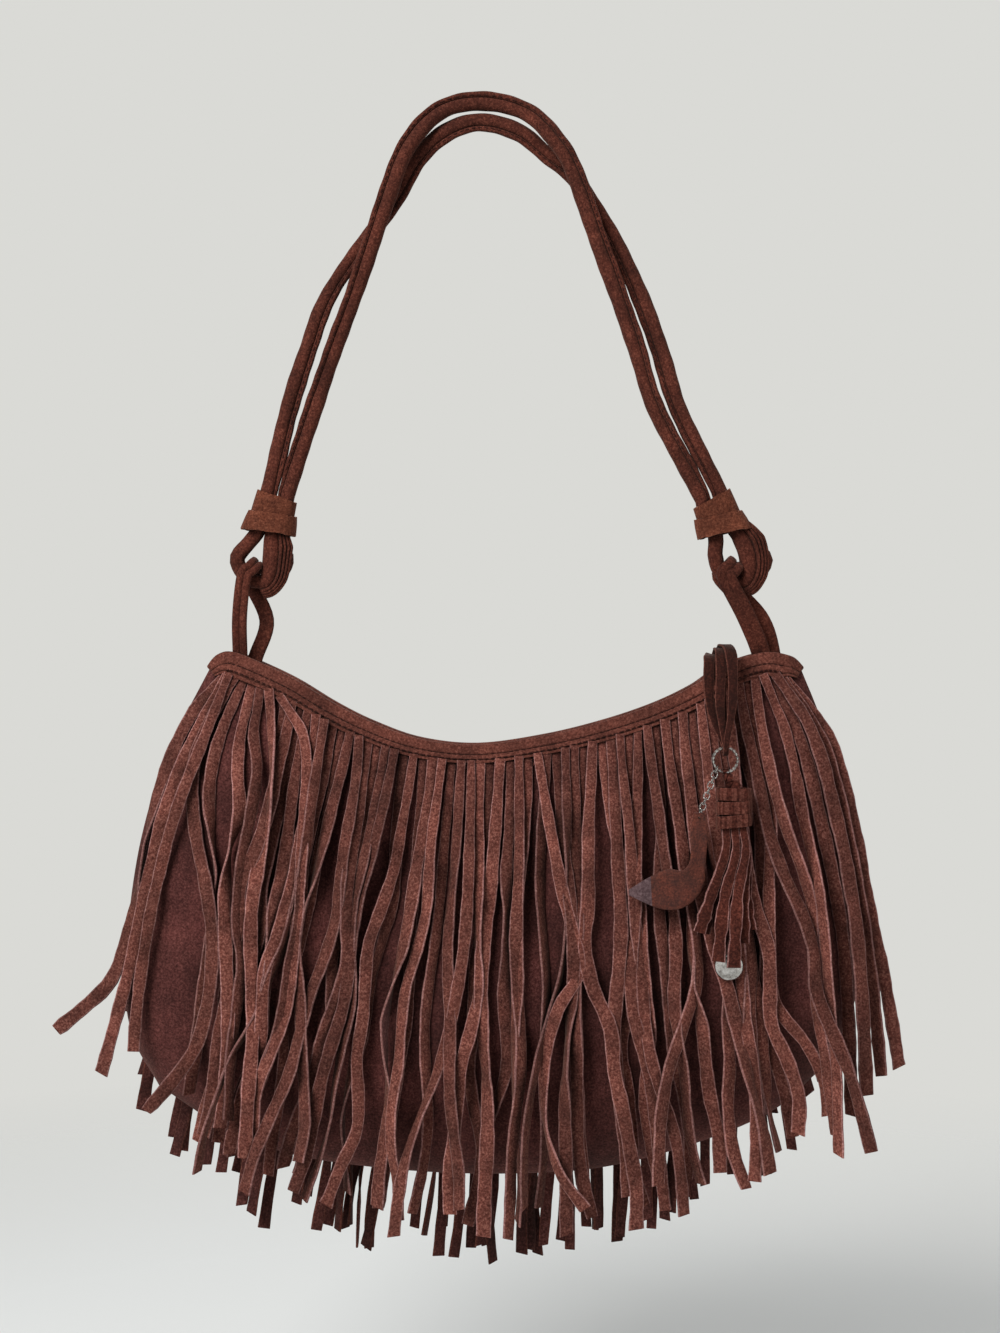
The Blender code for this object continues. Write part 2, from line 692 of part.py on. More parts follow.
def oval(centre, long_axis, short_axis, half_long, half_short, count):
    """Points of an oval made of two half circles and two straight runs."""
    points = []
    straight = half_long - half_short
    for k in range(count):
        angle = 2 * math.pi * (k + 0.5) / count
        shift = straight if math.cos(angle) > 0 else -straight
        points.append(
            centre + long_axis * (shift + half_short * math.cos(angle))
            + short_axis * half_short * math.sin(angle)
        )
    return points


def puller(hole):
    """Wire frame through the slider's bail, which carries the laces."""
    lengthwise = Vector((math.cos(PULLER_ANGLE), 0.0, math.sin(PULLER_ANGLE)))
    crosswise = Vector((0.0, 1.0, 0.0))
    corner = 1.4 * MM
    half = PULLER_HALF_WIDTH
    outline = [
        (0.0, -half + corner), (0.0, half - corner), (corner, half),
        (PULLER_LENGTH - corner, half), (PULLER_LENGTH, half - corner),
        (PULLER_LENGTH, -half + corner), (PULLER_LENGTH - corner, -half), (corner, -half),
    ]
    points = [hole + lengthwise * a + crosswise * b for a, b in outline]
    normal = lengthwise.cross(crosswise)
    mesh = closed_wire("zip_puller", points, PULLER_WIRE, normal, 6)
    add_object("zip_puller", mesh, DARK_METAL, hole)
    return lengthwise


def ribbon_mesh(name, path, widths, thicks, across, cyclic=False):
    """Flat strip along a path: across gives the way that its width runs."""
    rings = []
    count = len(path)
    for k, point in enumerate(path):
        ahead = path[(k + 1) % count] if cyclic or k < count - 1 else point
        behind = path[k - 1] if cyclic or k > 0 else point
        direction = (ahead - behind).normalized()
        wide = across[k] - direction * across[k].dot(direction)
        wide.normalize()
        flat_normal = direction.cross(wide)
        a, b = wide * widths[k] / 2, flat_normal * thicks[k] / 2
        rings.append([point - a - b, point + a - b, point + a + b, point - a + b])
    return sweep_mesh(name, rings, cyclic)


def strap_route():
    """The strap's closed centreline: both strands and the two bends under the wraps."""
    def bend(link_x, tilt, shift, start_side):
        """Half turn through the link, from one strand to the other."""
        points = []
        centre_z = LINK_Z + LINK_RADIUS
        spine = Vector((math.sin(tilt), 0.0, math.cos(tilt)))
        sideways = Vector((math.cos(tilt), 0.0, -math.sin(tilt)))
        middle = Vector((link_x, 0.0, centre_z))
        base = middle + Vector((shift, 0.0, 0.0))
        half = STRAP_PITCH / 2
        low = WRAP_RISE - WRAP_LENGTH
        rises = [WRAP_RISE + 6 * MM, WRAP_RISE, WRAP_RISE - WRAP_LENGTH / 2, low]
        lobe = low * 0.42
        for rise in rises:
            points.append(base + spine * rise + sideways * start_side * half)
        points.append(base + spine * lobe + sideways * start_side * (half + BEND_SHOULDER))
        for k in range(7):
            angle = math.radians(180 * k / 6)
            points.append(middle + Vector((
                start_side * LINK_RADIUS * math.cos(angle), 0.0, -LINK_RADIUS * math.sin(angle)
            )))
        points.append(base + spine * lobe - sideways * start_side * (half + BEND_SHOULDER))
        for rise in reversed(rises):
            points.append(base + spine * rise - sideways * start_side * half)
        return points

    front = [Vector(p) * MM for p in FRONT_STRAND]
    back = [Vector(p) * MM for p in BACK_STRAND]
    left = bend(LEFT_LINK_X, LEFT_TILT, LEFT_SHIFT, -1)
    right = bend(RIGHT_LINK_X, RIGHT_TILT, RIGHT_SHIFT, -1)
    return left, front, right, list(reversed(back))


def strap():
    left, front, right, back = strap_route()
    control = left + front + right + back
    closed = [control[-1]] + control + [control[0], control[1]]
    fine = []
    spans = len(closed) - 3
    for k in range(spans):
        for step in range(8):
            f = step / 8
            p0, p1, p2, p3 = closed[k:k + 4]
            fine.append(0.5 * (
                2 * p1 + (p2 - p0) * f + (2 * p0 - 5 * p1 + 4 * p2 - p3) * f * f
                + (3 * p1 - p0 - 3 * p2 + p3) * f ** 3
            ))
    chosen = [fine[0]]
    for point in fine[1:]:
        low = point.z < LINK_Z + LINK_RADIUS + WRAP_RISE
        if (point - chosen[-1]).length >= (BEND_SPACING if low else STRAP_SPACING):
            chosen.append(point)
    if (chosen[-1] - chosen[0]).length < BEND_SPACING * 0.6:
        chosen.pop()
    curve = bpy.data.curves.new("shoulder_strap", "CURVE")
    curve.dimensions = "3D"
    curve.bevel_depth = STRAP_RADIUS
    curve.bevel_resolution = 2
    spline = curve.splines.new("POLY")
    spline.points.add(len(chosen) - 1)
    for point, target in zip(spline.points, chosen):
        point.co = (*target, 1.0)
    spline.use_cyclic_u = True
    curve.materials.append(finish("shoulder_strap", SUEDE))
    item = bpy.data.objects.new("shoulder_strap", curve)
    parts.objects.link(item)


def wrap(name, link_x, tilt, shift):
    """Suede strip wound twice round both strands, the lower turn proud of the upper."""
    spine = Vector((math.sin(tilt), 0.0, math.cos(tilt)))
    sideways = Vector((math.cos(tilt), 0.0, -math.sin(tilt)))
    deep = Vector((0.0, 1.0, 0.0))
    base = Vector((link_x + shift, 0.0, LINK_Z + LINK_RADIUS)) + spine * (WRAP_RISE - WRAP_LENGTH)
    inner_short = STRAP_RADIUS + WRAP_BORE_GAP
    inner_long = STRAP_PITCH / 2 + STRAP_RADIUS + WRAP_BORE_GAP
    profile = [
        (0.0, WRAP_WALL + WRAP_FLARE), (0.5, WRAP_WALL + WRAP_FLARE * 0.55),
        (0.52, WRAP_WALL * 0.85), (1.0, WRAP_WALL * 0.8),
    ]
    rings = []
    for share, wall in profile:
        centre = base + spine * WRAP_LENGTH * share
        rings.append(oval(centre, sideways, deep, inner_long + wall, inner_short + wall, 20))
    for share in (1.0, 0.0):
        centre = base + spine * WRAP_LENGTH * share
        rings.append(oval(centre, sideways, deep, inner_long, inner_short, 20))
    add_object(name, sweep_mesh(name, rings, cyclic=True), SUEDE_TAN)


def sewn_loop(name, link_x, width, legs):
    """Suede loop round the strap's bend, with both ends sewn into the mouth's end."""
    radius = STRAP_RADIUS + LOOP_CLEARANCE + LOOP_THICK / 2
    hub = Vector((link_x - LINK_RADIUS * math.sin(LOOP_ANGLE), 0.0, LOOP_Z))
    inward = Vector((math.sin(LOOP_ANGLE), 0.0, math.cos(LOOP_ANGLE)))
    tangent = Vector((math.cos(LOOP_ANGLE), 0.0, -math.sin(LOOP_ANGLE)))
    deep = Vector((0.0, 1.0, 0.0))
    level = Vector((1.0, 0.0, 0.0))
    stations = []
    for side, (sewn_x, middle_x) in zip((-1, 1), legs):
        outer_x = sewn_x + math.copysign(width / 2, sewn_x)
        mouth_z = interpolate(TOP_BY_X, sewn_x)
        sewn_y = pouch_half(outer_x, interpolate(TOP_BY_X, outer_x))
        sewn_y -= BINDING_WALL + 2 * GAP + LOOP_SEWN_THICK / 2
        middle_z = mouth_z * 0.5 + LOOP_Z * 0.5
        leg = [
            (Vector((sewn_x, side * sewn_y, mouth_z - LOOP_SEWN_DEPTH)), LOOP_SEWN_THICK, level),
            (Vector((sewn_x, side * sewn_y, mouth_z + 2 * MM)), LOOP_SEWN_THICK, level),
            (Vector((middle_x, side * (sewn_y + radius) / 2, middle_z)), LOOP_THICK, level),
            (hub + deep * side * radius - inward * MM, LOOP_THICK, tangent),
        ]
        if side > 0:
            leg.reverse()
            for k in range(1, 6):
                angle = math.pi * k / 6
                place = hub + (inward * math.sin(angle) - deep * math.cos(angle)) * radius
                stations.append((place, LOOP_THICK, tangent))
        stations += leg
    path = [place for place, _, _ in stations]
    count = 26
    spans = len(stations) - 1
    thicks, across = [], []
    for k in range(count + 1):
        place = k / count * spans
        i = min(int(place), spans - 1)
        _, thick, way = stations[i]
        _, next_thick, next_way = stations[i + 1]
        thicks.append(thick + (next_thick - thick) * (place - i))
        across.append(way.lerp(next_way, place - i))
    fine = [catmull(path, k / count) for k in range(count + 1)]
    mesh = ribbon_mesh(name, fine, [width] * len(fine), thicks, across)
    add_object(name, mesh, SUEDE, hub)


def laces(hole, lengthwise):
    """Two flat laces, one over the other, looped on the puller's bar and the ring."""
    bar = hole + lengthwise * PULLER_LENGTH * LACE_SEAT - Vector((0.0, PULLER_HALF_WIDTH, 0.0))
    low = Vector((RING_CENTRE_X, CHARM_Y, RING_CENTRE_Z + RING_RADIUS))
    rightward = Vector((1.0, 0.0, 0.0))
    count = 9
    for nest, (word, side) in enumerate((("left", -1), ("right", 1))):
        turn_bar = PULLER_WIRE + LACE_THICK / 2 + LACE_SLACK + LACE_NEST * nest
        turn_ring = RING_WIRE + LACE_THICK / 2 + GAP + LACE_NEST * nest
        fan = side * LACE_WIDTH * 0.45
        spine = [
            bar,
            Vector((bar.x + fan * 0.3, LACE_CREST_Y, bar.z + LACE_CREST)),
            Vector((bar.x + fan * 0.8, LACE_BEND_Y, bar.z + LACE_BEND)),
            Vector((low.x - 1.0 * MM + fan, CHARM_Y + 8 * MM, low.z + 20.0 * MM)),
            low,
        ]
        shares = [k / count for k in range(count + 1)]
        ways = []
        for share in shares:
            blend = min(share * 3.0, 1.0)
            ways.append((-lengthwise * (1 - blend) + rightward * blend).normalized())
        outer, inner = [], []
        for share, way in zip(shares, ways):
            step = catmull(spine, share + 0.02) - catmull(spine, share - 0.02)
            if share == 0.0:
                step = Vector((0.0, -1.0, 0.0))
            elif share == 1.0:
                step = Vector((0.0, 0.0, -1.0))
            lift = step.cross(way).normalized()
            half = turn_bar + (turn_ring - turn_bar) * share
            outer.append(catmull(spine, share) + lift * half)
            inner.append(catmull(spine, share) - lift * half)
        first_lift = (outer[0] - bar).normalized()
        last_lift = (outer[-1] - low).normalized()
        top_turn, low_turn = [], []
        for degrees in (45, 90, 135):
            turn = math.radians(degrees)
            ahead, aside = math.sin(turn), math.cos(turn)
            top_turn.append(bar + (Vector((0.0, ahead, 0.0)) - first_lift * aside) * turn_bar)
            low_turn.append(low + (Vector((0.0, 0.0, -ahead)) + last_lift * aside) * turn_ring)
        path = top_turn + outer + low_turn + inner[::-1]
        across = [ways[0]] * 3 + ways + [ways[-1]] * 3 + ways[::-1]
        widths = [LACE_WIDTH + (LACE_RING_WIDTH - LACE_WIDTH) * share ** 1.5
                  for share in [0.0] * 3 + shares + [1.0] * 3 + shares[::-1]]
        name = word + "_pull_lace"
        mesh = ribbon_mesh(name, path, widths, [LACE_THICK] * len(path), across, cyclic=True)
        add_object(name, mesh, SUEDE_TAN, hole)


def charm_ring():
    centre = Vector((RING_CENTRE_X, CHARM_Y, RING_CENTRE_Z))
    points = []
    for k in range(20):
        angle = 2 * math.pi * k / 20
        points.append(centre + Vector((math.cos(angle), 0.0, math.sin(angle))) * RING_RADIUS)
    mesh = closed_wire("charm_ring", points, RING_WIRE, Vector((0.0, 1.0, 0.0)), 6)
    top = centre + Vector((0.0, 0.0, RING_RADIUS))
    add_object("charm_ring", mesh, BRIGHT_METAL, top)


def chain():
    """Small links from the ring's lower left, then an open hook that carries the tag."""
    deep = Vector((0.0, 1.0, 0.0))
    angle = CHAIN_START_ANGLE
    start = Vector((RING_CENTRE_X, CHARM_Y, RING_CENTRE_Z))
    start += Vector((math.cos(angle), 0.0, math.sin(angle))) * RING_RADIUS
    end = Vector((CHAIN_END.x, CHARM_Y, CHAIN_END.z))
    way = (end - start).normalized()
    flat_side = deep.cross(way)
    first = 0.3 * MM
    pitch = CHAIN_LINK_LENGTH - 4 * LINK_WIRE - 0.25 * MM
    for k in range(CHAIN_LINKS):
        centre = start + way * (first + pitch * k)
        short = deep if k % 2 == 0 else flat_side
        normal = flat_side if k % 2 == 0 else deep
        points = oval(centre, way, short, CHAIN_LINK_LENGTH / 2 - LINK_WIRE,
                      CHAIN_LINK_WIDTH / 2 - LINK_WIRE, 8)
        name = "chain_link_%d" % (k + 1)
        pivot = start if k == 0 else centre - way * (CHAIN_LINK_LENGTH / 2 - LINK_WIRE)
        add_object(name, closed_wire(name, points, LINK_WIRE, normal, 5), BRIGHT_METAL, pivot)
    last = start + way * (first + pitch * (CHAIN_LINKS - 1))
    hook_centre = last + way * (
        CHAIN_LINK_LENGTH / 2 - 2 * LINK_WIRE - HOOK_WIRE - 0.15 * MM + HOOK_RADIUS
    )
    normal = flat_side if (CHAIN_LINKS - 1) % 2 else deep
    side_axis = deep if (CHAIN_LINKS - 1) % 2 else flat_side
    return way, hook_centre, side_axis, normal


def hook_and_tag(hook_data):
    way, centre, side_axis, normal = hook_data
    radius, wire = HOOK_RADIUS, HOOK_WIRE
    count = 14
    rings = []
    for k in range(count + 1):
        turn = math.radians(-75 + 300 * k / count)
        radial = side_axis * math.sin(turn) - way * math.cos(turn)
        rings.append(ring_of(centre + radial * radius, radial, normal, wire, wire, 6))
    pivot = centre - way * radius
    add_object("end_hook", sweep_mesh("end_hook", rings), BRIGHT_METAL, pivot)
    hole = centre + way * radius
    bm = bmesh.new()
    verts = [
        bm.verts.new((hole.x + x * MM, CHARM_Y - TAG_WALL / 2, hole.z + z * MM)) for x, z in TAG
    ]
    bm.faces.new(verts)
    mesh = bpy.data.meshes.new("leaf_tag")
    bmesh.ops.recalc_face_normals(bm, faces=bm.faces)
    extruded = bmesh.ops.extrude_face_region(bm, geom=list(bm.faces))
    moved = [v for v in extruded["geom"] if isinstance(v, bmesh.types.BMVert)]
    bmesh.ops.translate(bm, vec=(0.0, TAG_WALL, 0.0), verts=moved)
    bmesh.ops.recalc_face_normals(bm, faces=bm.faces)
    bm.to_mesh(mesh)
    bm.free()
    item = add_object("leaf_tag", mesh, SUEDE_TAN, hole)
    bm = bmesh.new()
    drill(item, "tag_hole", hole, TAG_HOLE_RADIUS, TAG_WALL * 3)


def tassel():
    """Head loop on the ring, wound band, and the strips that hang from the band."""
    ring_low = Vector((RING_CENTRE_X, CHARM_Y, RING_CENTRE_Z - RING_RADIUS))
    pivot = ring_low.copy()
    turn = RING_WIRE + STRIP_THICK / 2 + GAP
    head_low = BAND_TOP - 1.5 * MM
    path = []
    for k in range(5):
        angle = math.pi * k / 4
        path.append(ring_low + Vector((0.0, -turn * math.cos(angle), turn * math.sin(angle))))
    middle_z = (ring_low.z + head_low) / 2
    shift = TASSEL_X - RING_CENTRE_X
    for side, z, share in ((1, middle_z, 0.5), (1, head_low, 1.0), (-1, head_low, 1.0),
                           (-1, middle_z, 0.5)):
        x = RING_CENTRE_X + shift * share
        path.append(Vector((x, CHARM_Y + side * (turn + 0.6 * MM), z)))
    middle_width = (HEAD_RING_WIDTH + HEAD_BAND_WIDTH) / 2
    widths = [HEAD_RING_WIDTH] * 5
    widths += [middle_width, HEAD_BAND_WIDTH, HEAD_BAND_WIDTH, middle_width]
    across = [Vector((1.0, 0.0, 0.0))] * len(path)
    mesh = ribbon_mesh("tassel_head", path, widths, [STRIP_THICK] * len(path), across, cyclic=True)
    add_object("tassel_head", mesh, SUEDE_TAN, pivot)

    centre = Vector((TASSEL_X, CHARM_Y, BAND_TOP))
    across_x, deep = Vector((1.0, 0.0, 0.0)), Vector((0.0, 1.0, 0.0))
    rings = []
    turns = 3
    for k in range(turns):
        for share, swell in ((0.04, 0.0), (0.18, BAND_SWELL), (0.82, BAND_SWELL), (0.96, 0.0)):
            drop = (k + share) / turns * BAND_HEIGHT
            rings.append(oval(centre - Vector((0.0, 0.0, drop)), across_x, deep,
                              BAND_HALF_WIDTH + swell, BAND_HALF_DEPTH + swell, 14))
    for share in (0.96, 0.04):
        drop = BAND_HEIGHT * (turns - 1 + share if share > 0.5 else share) / turns
        rings.append(oval(centre - Vector((0.0, 0.0, drop)), across_x, deep,
                          BAND_HALF_WIDTH - BAND_WALL, BAND_HALF_DEPTH - BAND_WALL, 14))
    add_object("tassel_band", sweep_mesh("tassel_band", rings, cyclic=True), SUEDE_TAN, pivot)

    top_z = head_low - STRIP_THICK / 2 - 2 * MM
    low_z = BAND_TOP - BAND_HEIGHT
    for row in (-1, 0, 1):
        for column in (-1, 0, 1):
            x = TASSEL_X + column * STRIP_PITCH_X
            y = CHARM_Y + row * STRIP_PITCH_Y
            end_x, end_z = STRIP_ENDS[(column, row)]
            fan = row * 2.6 * MM
            spine = [
                Vector((x, y, top_z)), Vector((x, y, low_z)),
                Vector((x + (end_x * MM - x) * 0.2, y + fan * 0.5, low_z - 12 * MM)),
                Vector((x + (end_x * MM - x) * 0.62, y + fan, low_z - 34 * MM)),
                Vector((end_x * MM, y + fan, end_z * MM)),
            ]
            path = [spine[0], spine[1]] + [catmull(spine[1:], k / 5) for k in range(1, 6)]
            count = len(path)
            name = "tassel_strip_%d" % (3 * (row + 1) + column + 2)
            mesh = ribbon_mesh(name, path, [STRIP_WIDTH] * count, [STRIP_THICK] * count,
                               [Vector((1.0, 0.0, 0.0))] * count)
            strip = add_object(name, mesh, SUEDE_TAN, pivot)
            if (column, row) == (0, 1):
                item, disc_strip = strip, path[-1]
    eye = disc_strip + Vector((0.0, 0.0, EYE_RISE))
    drill(item, "strip_eye", eye, EYE_RADIUS, STRIP_THICK * 2)
    return eye


def disc(eye):
    """Dished metal disc on a jump ring through the rear strip's eye."""
    centre = eye - Vector((0.0, 0.0, JUMP_RADIUS))
    points = []
    for k in range(12):
        angle = 2 * math.pi * k / 12
        points.append(centre + Vector((0.0, math.cos(angle), math.sin(angle))) * JUMP_RADIUS)
    mesh = closed_wire("jump_ring", points, JUMP_WIRE, Vector((1.0, 0.0, 0.0)), 5)
    add_object("jump_ring", mesh, BRIGHT_METAL, eye)
    hole = centre - Vector((0.0, 0.0, JUMP_RADIUS))
    middle = hole - Vector((0.0, 0.0, DISC_RADIUS - DISC_HOLE_INSET))
    rings = []
    sides = 18
    dish = [(DISC_RADIUS * share, DISC_DISH * (1 - share ** 2)) for share in (0.37, 0.71, 1.0)]
    for r, h in dish + [(r, h - DISC_WALL) for r, h in reversed(dish)]:
        ring = []
        for k in range(sides):
            angle = 2 * math.pi * k / sides
            ring.append(middle + Vector((r * math.cos(angle), h, r * math.sin(angle))))
        rings.append(ring)
    mesh = sweep_mesh("disc_charm", rings)
    item = add_object("disc_charm", mesh, BRIGHT_METAL, eye)
    drill(item, "disc_hole", hole, DISC_HOLE_RADIUS, DISC_WALL * 6)


for old in list(bpy.data.objects):
    bpy.data.objects.remove(old)
parts = bpy.data.collections.new("fringed_bag")
cutters = bpy.data.collections.new("cutters")
bpy.context.scene.collection.children.link(parts)
bpy.context.scene.collection.children.link(cutters)

strap()
wrap("left_wrap", LEFT_LINK_X, LEFT_TILT, LEFT_SHIFT)
wrap("right_wrap", RIGHT_LINK_X, RIGHT_TILT, RIGHT_SHIFT)
sewn_loop("left_loop", LEFT_LINK_X, LEFT_LOOP_WIDTH, LEFT_LOOP_LEGS)
sewn_loop("right_loop", RIGHT_LINK_X, RIGHT_LOOP_WIDTH, RIGHT_LOOP_LEGS)
panel("front_panel", -1)
panel("back_panel", 1)
lining()
rim("front_rim", -1)
rim("back_rim", 1)
fringe("front_fringe", -1, FRONT_STRANDS, FRONT_STEPS, front_end, SUEDE)
fringe("back_fringe", 1, BACK_STRANDS, BACK_STEPS, back_end, SUEDE_DARK)
zip_rows()
bail_hole = slider()
pull_way = puller(bail_hole)
laces(bail_hole, pull_way)
charm_ring()
hook_and_tag(chain())
disc(tassel())
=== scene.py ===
import json
import math
import random

import bmesh
import bpy
import numpy as np
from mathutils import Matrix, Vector, noise


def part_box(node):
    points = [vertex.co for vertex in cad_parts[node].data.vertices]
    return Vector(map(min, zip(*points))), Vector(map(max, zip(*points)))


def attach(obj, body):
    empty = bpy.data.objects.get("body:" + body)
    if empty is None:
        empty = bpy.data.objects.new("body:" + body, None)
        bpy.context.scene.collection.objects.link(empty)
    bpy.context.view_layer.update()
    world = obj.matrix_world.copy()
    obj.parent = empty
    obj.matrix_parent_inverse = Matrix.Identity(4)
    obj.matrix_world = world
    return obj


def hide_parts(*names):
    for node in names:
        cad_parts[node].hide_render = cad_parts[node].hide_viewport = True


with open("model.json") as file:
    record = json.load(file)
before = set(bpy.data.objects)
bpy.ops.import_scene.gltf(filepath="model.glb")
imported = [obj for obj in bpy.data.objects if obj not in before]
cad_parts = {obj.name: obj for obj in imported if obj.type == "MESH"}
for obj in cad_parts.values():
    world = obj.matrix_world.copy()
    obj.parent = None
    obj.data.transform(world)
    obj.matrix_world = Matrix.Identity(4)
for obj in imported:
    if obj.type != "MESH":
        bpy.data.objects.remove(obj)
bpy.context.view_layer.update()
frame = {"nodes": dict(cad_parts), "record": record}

mm = 0.001
level, deep = np.array([1.0, 0.0, 0.0]), np.array([0.0, 1.0, 0.0])  # to the right, and to the back
scene = bpy.context.scene
print("frame loaded")

# camera at the photo's viewing angle, level with the middle of the picture
view = {"x": 0.0102, "z": -0.2736, "distance": 0.95, "height": 0.6798}
cameraData = bpy.data.cameras.new("photoCamera")
cameraData.sensor_fit = "VERTICAL"
cameraData.sensor_height = 24.0
cameraData.lens = 24.0 * view["distance"] / view["height"]
cameraData.clip_start = 0.01
camera = bpy.data.objects.new("photoCamera", cameraData)
camera.location = (view["x"], -view["distance"], view["z"])
camera.rotation_euler = (math.pi / 2, 0.0, 0.0)
scene.collection.objects.link(camera)
scene.camera = camera


def fromPicture(x, y, depth):
    # a place in the 1000 x 1333 picture, at a depth in metres
    scale = view["height"] / 1333 * (view["distance"] + depth) / view["distance"]
    return np.array([view["x"] + (x - 500) * scale, depth, view["z"] - (y - 666.5) * scale])


# small mesh tools

def newStore():
    return {"verts": [], "faces": [], "slots": [], "tones": []}


def addSweep(store, rings, slots, tone=1.0, closed=False, capSlot=0):
    base = len(store["verts"])
    rings = np.asarray(rings)
    count = rings.shape[1]
    store["verts"].extend(rings.reshape(-1, 3).tolist())
    store["tones"].extend([tone] * (rings.shape[0] * count))
    total = rings.shape[0]
    for i in range(total if closed else total - 1):
        a, b = base + i * count, base + ((i + 1) % total) * count
        for j in range(count):
            k = (j + 1) % count
            store["faces"].append((a + j, a + k, b + k, b + j))
            store["slots"].append(slots[j % len(slots)])
    if not closed:
        store["faces"].append(tuple(base + j for j in reversed(range(count))))
        store["faces"].append(tuple(base + (total - 1) * count + j for j in range(count)))
        store["slots"].extend([capSlot, capSlot])


def addShellFaces(store, base, columns, rows):
    # both faces of a double wall whose points are laid row by row
    width, count = columns + 1, (rows + 1) * (columns + 1)
    for j in range(rows):
        for i in range(columns):
            a = base + j * width + i
            quad = (a, a + width, a + width + 1, a + 1)
            store["faces"] += [quad, tuple(count + q for q in reversed(quad))]
            store["slots"] += [0, 0]


def settle(name, mesh, materials, tones, body, replaced, sharp):
    # finish of a mesh, and what its piece rides on and stands for
    for item in materials:
        mesh.materials.append(item)
    attribute = mesh.attributes.new("tone", "FLOAT", "POINT")
    attribute.data.foreach_set("value", tones)
    mesh.shade_smooth()
    mesh.set_sharp_from_angle(angle=math.radians(sharp))
    piece = bpy.data.objects.new(name, mesh)
    scene.collection.objects.link(piece)
    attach(piece, body)
    if replaced:
        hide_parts(*replaced)
    return piece


def makeObject(name, store, materials, body, replaced, sharp=50.0):
    mesh = bpy.data.meshes.new(name)
    mesh.from_pydata(store["verts"], [], store["faces"])
    mesh.polygons.foreach_set("material_index", store["slots"])
    bm = bmesh.new()
    bm.from_mesh(mesh)
    bmesh.ops.recalc_face_normals(bm, faces=bm.faces)
    bm.to_mesh(mesh)
    bm.free()
    return settle(name, mesh, materials, store["tones"], body, replaced, sharp)


def unit(vectors):
    return vectors / np.maximum(np.linalg.norm(vectors, axis=-1, keepdims=True), 1e-12)


def smoothPath(points, count, closed=False):
    # Catmull-Rom curve through the points, resampled at even distances
    points = np.asarray(points, float)
    if closed:
        padded = np.vstack([points[-1], points, points[0], points[1]])
    else:
        padded = np.vstack([2 * points[0] - points[1], points, 2 * points[-1] - points[-2]])
    fine = []
    for k in range(len(padded) - 3):
        p0, p1, p2, p3 = padded[k:k + 4]
        for f in np.arange(0, 1, 1 / 12):
            fine.append(0.5 * (2 * p1 + (p2 - p0) * f + (2 * p0 - 5 * p1 + 4 * p2 - p3) * f * f
                               + (3 * p1 - p0 - 3 * p2 + p3) * f ** 3))
    fine.append(padded[-2])
    fine = np.array(fine)
    steps = np.linalg.norm(np.diff(fine, axis=0), axis=1)
    lengths = np.concatenate([[0.0], np.cumsum(steps)])
    targets = np.linspace(0, lengths[-1], count + 1 if closed else count)
    even = np.column_stack([np.interp(targets, lengths, fine[:, i]) for i in range(3)])
    return even[:-1] if closed else even


def curvePoint(points, t):
    spans = len(points) - 1
    place = min(max(t, 0.0), 1.0) * spans
    i = min(int(place), spans - 1)
    f = place - i
    p1, p2 = points[i], points[i + 1]
    p0 = points[i - 1] if i > 0 else p1 * 2 - p2
    p3 = points[i + 2] if i + 2 <= spans else p2 * 2 - p1
    return 0.5 * (2 * p1 + (p2 - p0) * f + (2 * p0 - 5 * p1 + 4 * p2 - p3) * f * f
                  + (3 * p1 - p0 - 3 * p2 + p3) * f ** 3)


def pathFrame(path, facing, closed=False, twist=None):
    # tangent, outward and sideways directions along a path
    path = np.asarray(path)
    if closed:
        tangent = unit(np.roll(path, -1, axis=0) - np.roll(path, 1, axis=0))
    else:
        tangent = unit(np.gradient(path, axis=0))
    facing = np.broadcast_to(np.asarray(facing, float), path.shape)
    out = unit(facing - tangent * np.sum(facing * tangent, axis=1, keepdims=True))
    side = np.cross(tangent, out)
    if twist is not None:
        turn = np.broadcast_to(np.asarray(twist, float), (len(path),))[:, None]
        out, side = out * np.cos(turn) + side * np.sin(turn), side * np.cos(turn) - out * np.sin(turn)
    return tangent, out, side


flatSection = [(-0.5, 0.22), (-0.42, 0.5), (0.42, 0.5), (0.5, 0.22),
               (0.5, -0.22), (0.42, -0.5), (-0.42, -0.5), (-0.5, -0.22)]
flatSlots = [1, 0, 1, 1, 1, 2, 1, 1]  # nap, cut edge and flesh side


def ribbonRings(path, width, thick, facing, twist=None, closed=False, section=None):
    path = np.asarray(path)
    tangent, out, side = pathFrame(path, facing, closed, twist)
    width = np.broadcast_to(np.asarray(width, float), (len(path),))
    thick = np.broadcast_to(np.asarray(thick, float), (len(path),))
    section = np.array(section or flatSection)
    return (path[:, None, :] + side[:, None, :] * (section[None, :, 0] * width[:, None])[..., None]
            + out[:, None, :] * (section[None, :, 1] * thick[:, None])[..., None])


def addStitch(store, start, end, out, radius):
    # one thread stitch lying on a surface
    start, end, out = np.asarray(start), np.asarray(end), np.asarray(out)
    way = unit(end - start)
    side = np.cross(way, out)
    rings = []
    for share, lift, size in ((0.0, -0.4, 0.5), (0.2, 0.45, 1.0), (0.8, 0.45, 1.0), (1.0, -0.4, 0.5)):
        centre = start + (end - start) * share + out * radius * lift
        rings.append([centre + (side * math.cos(t) + out * math.sin(t)) * radius * size
                      for t in np.arange(5) * 2 * math.pi / 5])
    addSweep(store, rings, [0])


def acrossSection(place, normal, section, side=1):
    # points of a section given as depth and height off a curve
    return [place + normal * n + deep * side * y for y, n in section]


def boxCorners(node):
    low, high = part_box(node)
    return np.array(low), np.array(high)


# materials

def newMaterial(name):
    item = bpy.data.materials.new(name)
    item.use_nodes = True
    tree = item.node_tree
    return item, tree, tree.nodes["Principled BSDF"], addNode(tree, "TexCoord").outputs["Object"]


